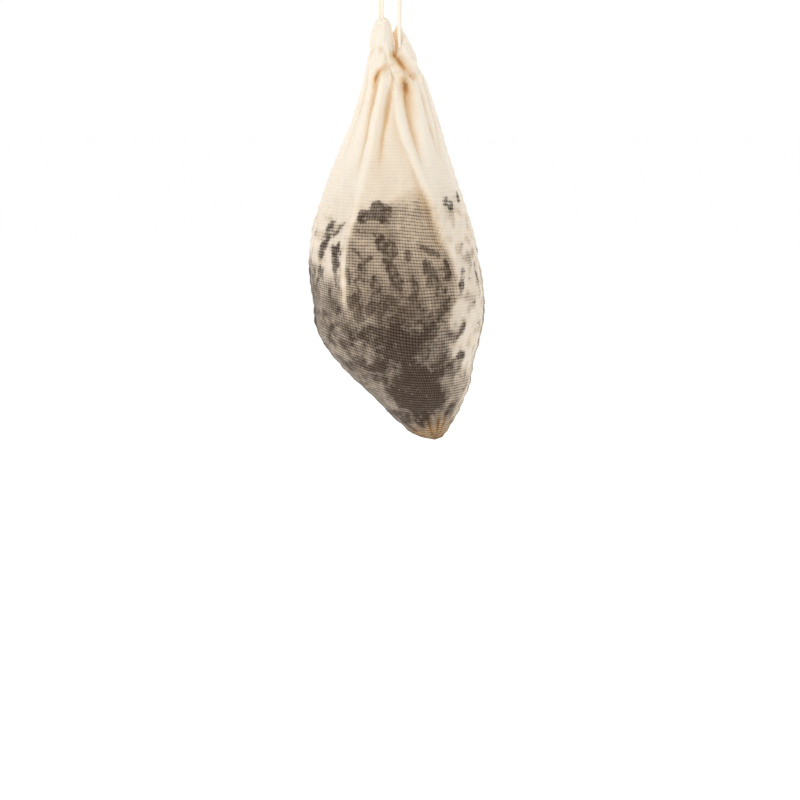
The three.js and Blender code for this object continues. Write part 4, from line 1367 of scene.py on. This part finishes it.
def sweep(name, path, radius, sides, plies, twist):
    """A closed twisted cord along a path in millimetres, its section a ring of plies."""
    points = [Vector(p) for p in path]
    count = len(points)
    tangents = []
    for i in range(count):
        tangents.append((points[min(i + 1, count - 1)] - points[max(i - 1, 0)]).normalized())
    up = Vector((0, 1, 0)) if abs(tangents[0].y) < 0.9 else Vector((1, 0, 0))
    normal = (up - tangents[0] * up.dot(tangents[0])).normalized()
    mesh = bmesh.new()
    rings, walked = [], 0.0
    for i, (point, tangent) in enumerate(zip(points, tangents)):
        normal = (normal - tangent * normal.dot(tangent)).normalized()
        side = tangent.cross(normal)
        if i:
            walked += (point - points[i - 1]).length
        spin = 2 * math.pi * walked / twist
        ring = []
        for k in range(sides):
            turn = 2 * math.pi * k / sides
            ply = abs(math.cos(plies * (turn - spin) / 2)) ** 0.7
            reach = radius * (1 - PLY_SHARE + PLY_SHARE * ply)
            ring.append(mesh.verts.new(
                (point + (normal * math.cos(turn) + side * math.sin(turn)) * reach) * MM))
        rings.append(ring)
    for low, high in zip(rings, rings[1:]):
        for k in range(sides):
            n = (k + 1) % sides
            mesh.faces.new((low[k], low[n], high[n], high[k]))
    mesh.faces.new(list(reversed(rings[0])))
    mesh.faces.new(rings[-1])
    for face in mesh.faces:
        face.smooth = True
    data = bpy.data.meshes.new(name)
    mesh.to_mesh(data)
    mesh.free()
    piece = bpy.data.objects.new(name, data)
    bpy.context.collection.objects.link(piece)
    return piece


def join(name, pieces):
    deselect()
    for piece in pieces:
        piece.select_set(True)
    bpy.context.view_layer.objects.active = pieces[0]
    bpy.ops.object.join()
    joined = bpy.context.object
    joined.name = name
    joined.data.name = name
    return joined


def knot_strand(start, end_side, lead):
    """One strand's way through an overhand knot: up the middle, round the outside and out."""
    x, y, z = start
    middle_x = x - end_side * 0.4
    points = [(x, y, z), (x - end_side * 0.05, y, z + 0.8)]
    for share in (0.25, 0.6, 0.9):
        points.append((middle_x + 0.42 * end_side, 0.42 * lead, -1.8 + 3.6 * share))
    first_turn = math.radians(30 * lead) + end_side * math.pi / 2
    for i in range(KNOT_POINTS + 1):
        t = i / KNOT_POINTS
        turn = first_turn + 2 * math.pi * KNOT_TURNS * t
        wide = KNOT_RADIUS * (0.55 + 0.45 * math.sin(math.pi * min(1, 0.12 + t * 0.9)) ** 0.4)
        points.append((
            middle_x + wide * math.cos(turn), wide * math.sin(turn),
            1.35 - 2.5 * t + 0.45 * lead))
    last_turn = first_turn + 2 * math.pi * KNOT_TURNS + 0.7
    inner = KNOT_RADIUS * 0.42
    points.append((
        middle_x + inner * math.cos(last_turn), inner * math.sin(last_turn), -0.6))
    points.append((middle_x + 0.5 * end_side, 0.5 * lead, 0.9))
    points.append((middle_x + 0.6 * end_side, 0.5 * lead, 2.3))
    points.append((middle_x + 0.9 * end_side, 0.9 * lead, 4.4))
    points.append((middle_x + 1.25 * end_side, 1.7 * lead, 7.2))
    return points


def make_knot(name, route, rng):
    """An overhand knot in both ends of a cord, with two frayed tails."""
    diameter = bpy.context.scene.tea_bag_sizes.cord_diameter / MM
    strands = []
    ends = ((route[0], route[-1]), (route[-1], route[0]))
    for number, (start, other) in enumerate(ends):
        along = 1 if start[0] > other[0] else -1
        lead = 1 if start[1] > other[1] else -1
        path = route_points(knot_strand(start, along, lead), KNOT_STEP)
        strands.append(sweep(
            f"{name}_{number}", path, diameter / 2, KNOT_SIDES, CORD_PLIES, CORD_TWIST))
        tip = Vector(path[-1])
        away = (tip - Vector(path[-6])).normalized()
        for _ in range(TAIL_FIBRES):
            lean = Vector([rng.uniform(-0.55, 0.55) for _ in range(3)])
            foot = tip + Vector([rng.uniform(-0.3, 0.3) for _ in range(3)]) - away * 0.5
            reach = rng.uniform(0.8, 1.9)
            middle = foot + (away + lean * 0.4) * reach * 0.5
            end = foot + (away + lean) * reach
            hair = route_points([foot, middle, end], 0.25)
            strands.append(sweep(f"{name}_hair", hair, FIBRE_RADIUS, 5, 1, 9.0))
    return join(name, strands)


def make_stitches(points):
    """The running stitch that closes the hem, one thread piece for each stitch."""
    row = FIRST_OUTER_ROW + CASING_ROWS - 1
    line = points[row, :-1]
    centre = line.mean(axis=0)
    steps = np.linalg.norm(np.roll(line, -1, axis=0) - line, axis=1)
    run = np.concatenate([[0], np.cumsum(steps)])
    closed = np.vstack([line, line[:1]])
    pieces = []
    for i in range(int(run[-1] / STITCH_PITCH)):
        places = np.linspace(i * STITCH_PITCH, i * STITCH_PITCH + STITCH_LENGTH, 6)
        path = np.stack([np.interp(places, run, closed[:, k]) for k in range(3)], axis=1)
        outward = (path - centre) * [1, 1, 0]
        outward = outward / np.linalg.norm(outward, axis=1, keepdims=True)
        bow = np.sin(np.linspace(0, math.pi, 6))[:, None]
        path = path + outward * (STITCH_BOW * bow - STITCH_SINK)
        pieces.append(sweep(f"stitch_{i}", path, STITCH_RADIUS, 8, 2, 1.1))
    return join("hem_stitches", pieces)


class OBJECT_OT_bag_stage(bpy.types.Operator):
    """Adds the camera, the pale floor and the soft studio light"""
    bl_idname = "object.bag_stage"
    bl_label = "Stage"

    def execute(self, context):
        rise = math.radians(CAMERA_RISE)
        target = Vector(CAMERA_TARGET) * MM
        back = Vector((0, -math.cos(rise), math.sin(rise)))
        lens = bpy.data.cameras.new("camera")
        lens.lens = CAMERA_LENS
        lens.sensor_width = CAMERA_SENSOR
        lens.clip_start = CAMERA_NEAR
        camera = bpy.data.objects.new("camera", lens)
        camera.location = target + back * CAMERA_DISTANCE
        camera.rotation_euler = (-back).to_track_quat("-Z", "Y").to_euler()
        context.collection.objects.link(camera)
        context.scene.camera = camera

        drop = context.scene.tea_bag_sizes.floor_drop
        deselect()
        bpy.ops.mesh.primitive_plane_add(size=FLOOR_SIZE, location=(0, 0, -drop))
        floor = context.object
        floor.name = "floor"
        material = bpy.data.materials.new("pale_floor")
        material.use_nodes = True
        set_sockets(
            material.node_tree.nodes["Principled BSDF"],
            {"Base Color": FLOOR_SHADE, "Roughness": FLOOR_ROUGHNESS})
        paint(floor, material)

        world = bpy.data.worlds.new("studio")
        world.use_nodes = True
        set_sockets(
            world.node_tree.nodes["Background"], {"Color": SKY_SHADE, "Strength": SKY_STRENGTH})
        context.scene.world = world
        for name, place, size, power in LAMPS:
            light = bpy.data.lights.new(name, "AREA")
            light.shape = "DISK"
            light.size = size
            light.energy = power
            lamp = bpy.data.objects.new(name, light)
            lamp.location = place
            aim = target - Vector(place)
            lamp.rotation_euler = aim.to_track_quat("-Z", "Y").to_euler()
            context.collection.objects.link(lamp)
        context.scene.view_settings.view_transform = "Standard"
        return {"FINISHED"}


class OBJECT_OT_bag_drawstrings(bpy.types.Operator):
    """Adds both drawstrings and their knots"""
    bl_idname = "object.bag_drawstrings"
    bl_label = "Drawstrings"

    def execute(self, context):
        rng = random.Random(SEED)
        diameter = context.scene.tea_bag_sizes.cord_diameter
        material = cord_material("twisted_cotton", "cord")
        for side, route in (("left", LEFT_ROUTE), ("right", RIGHT_ROUTE)):
            path = route_points(route, CORD_STEP)
            string = sweep(
                f"cord_{side}", path, diameter / MM / 2, CORD_SIDES, CORD_PLIES, CORD_TWIST)
            knot = make_knot(f"cord_knot_{side}", route, rng)
            for piece in (string, knot):
                paint(piece, material)
                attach(piece, "root")
            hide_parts(f"drawstring_{side}")
            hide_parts(f"knot_{side}")
        return {"FINISHED"}


class OBJECT_OT_bag_tea(bpy.types.Operator):
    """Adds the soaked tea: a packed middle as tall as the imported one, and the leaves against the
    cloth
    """
    bl_idname = "object.bag_tea"
    bl_label = "Tea"

    def execute(self, context):
        points, _ = cloth_grid()
        material = leaf_material()
        leaves = make_leaves(points)
        mash = make_mash()
        for piece in (leaves, mash):
            paint(piece, material)
            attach(piece, "root")
        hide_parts("tea_leaves")
        return {"FINISHED"}


class OBJECT_OT_bag_cloth(bpy.types.Operator):
    """Adds the muslin bag with its folds, and the stitches of its hem"""
    bl_idname = "object.bag_cloth"
    bl_label = "Cloth"

    def execute(self, context):
        points, valley = cloth_grid()
        cloth = make_cloth(points, valley, bpy.data.objects["soaked_leaves"])
        paint(cloth, cloth_material())
        stitches = make_stitches(points)
        paint(stitches, cord_material("hem_thread", "cream"))
        for piece, slot in ((cloth, "muslin"), (stitches, "cotton_string")):
            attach(piece, "root")
        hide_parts("cloth_bag")
        return {"FINISHED"}


class VIEW3D_PT_tea_bag(bpy.types.Panel):
    """Lists the steps that build the bag"""
    bl_idname = "VIEW3D_PT_tea_bag"
    bl_label = "Tea bag"
    bl_space_type = "VIEW_3D"
    bl_region_type = "UI"
    bl_category = "Tea bag"

    def draw(self, context):
        for step in STEPS:
            self.layout.operator(step.bl_idname)
        for group in (context.scene.tea_bag_sizes, context.scene.tea_bag_colours):
            for name in group.bl_rna.properties.keys():
                if name not in ("rna_type", "name"):
                    self.layout.prop(group, name)


STEPS = (OBJECT_OT_bag_stage, OBJECT_OT_bag_drawstrings, OBJECT_OT_bag_tea, OBJECT_OT_bag_cloth)
CLASSES = (BagSizes, BagColours, *STEPS, VIEW3D_PT_tea_bag)


def register():
    for item in CLASSES:
        bpy.utils.register_class(item)
    bpy.types.Scene.tea_bag_sizes = bpy.props.PointerProperty(type=BagSizes)
    bpy.types.Scene.tea_bag_colours = bpy.props.PointerProperty(type=BagColours)


def unregister():
    del bpy.types.Scene.tea_bag_sizes
    del bpy.types.Scene.tea_bag_colours
    for item in reversed(CLASSES):
        bpy.utils.unregister_class(item)


def main():
    register()
    bpy.ops.object.bag_stage()
    bpy.ops.object.bag_drawstrings()
    bpy.ops.object.bag_tea()
    bpy.ops.object.bag_cloth()


if __name__ == "__main__":
    main()
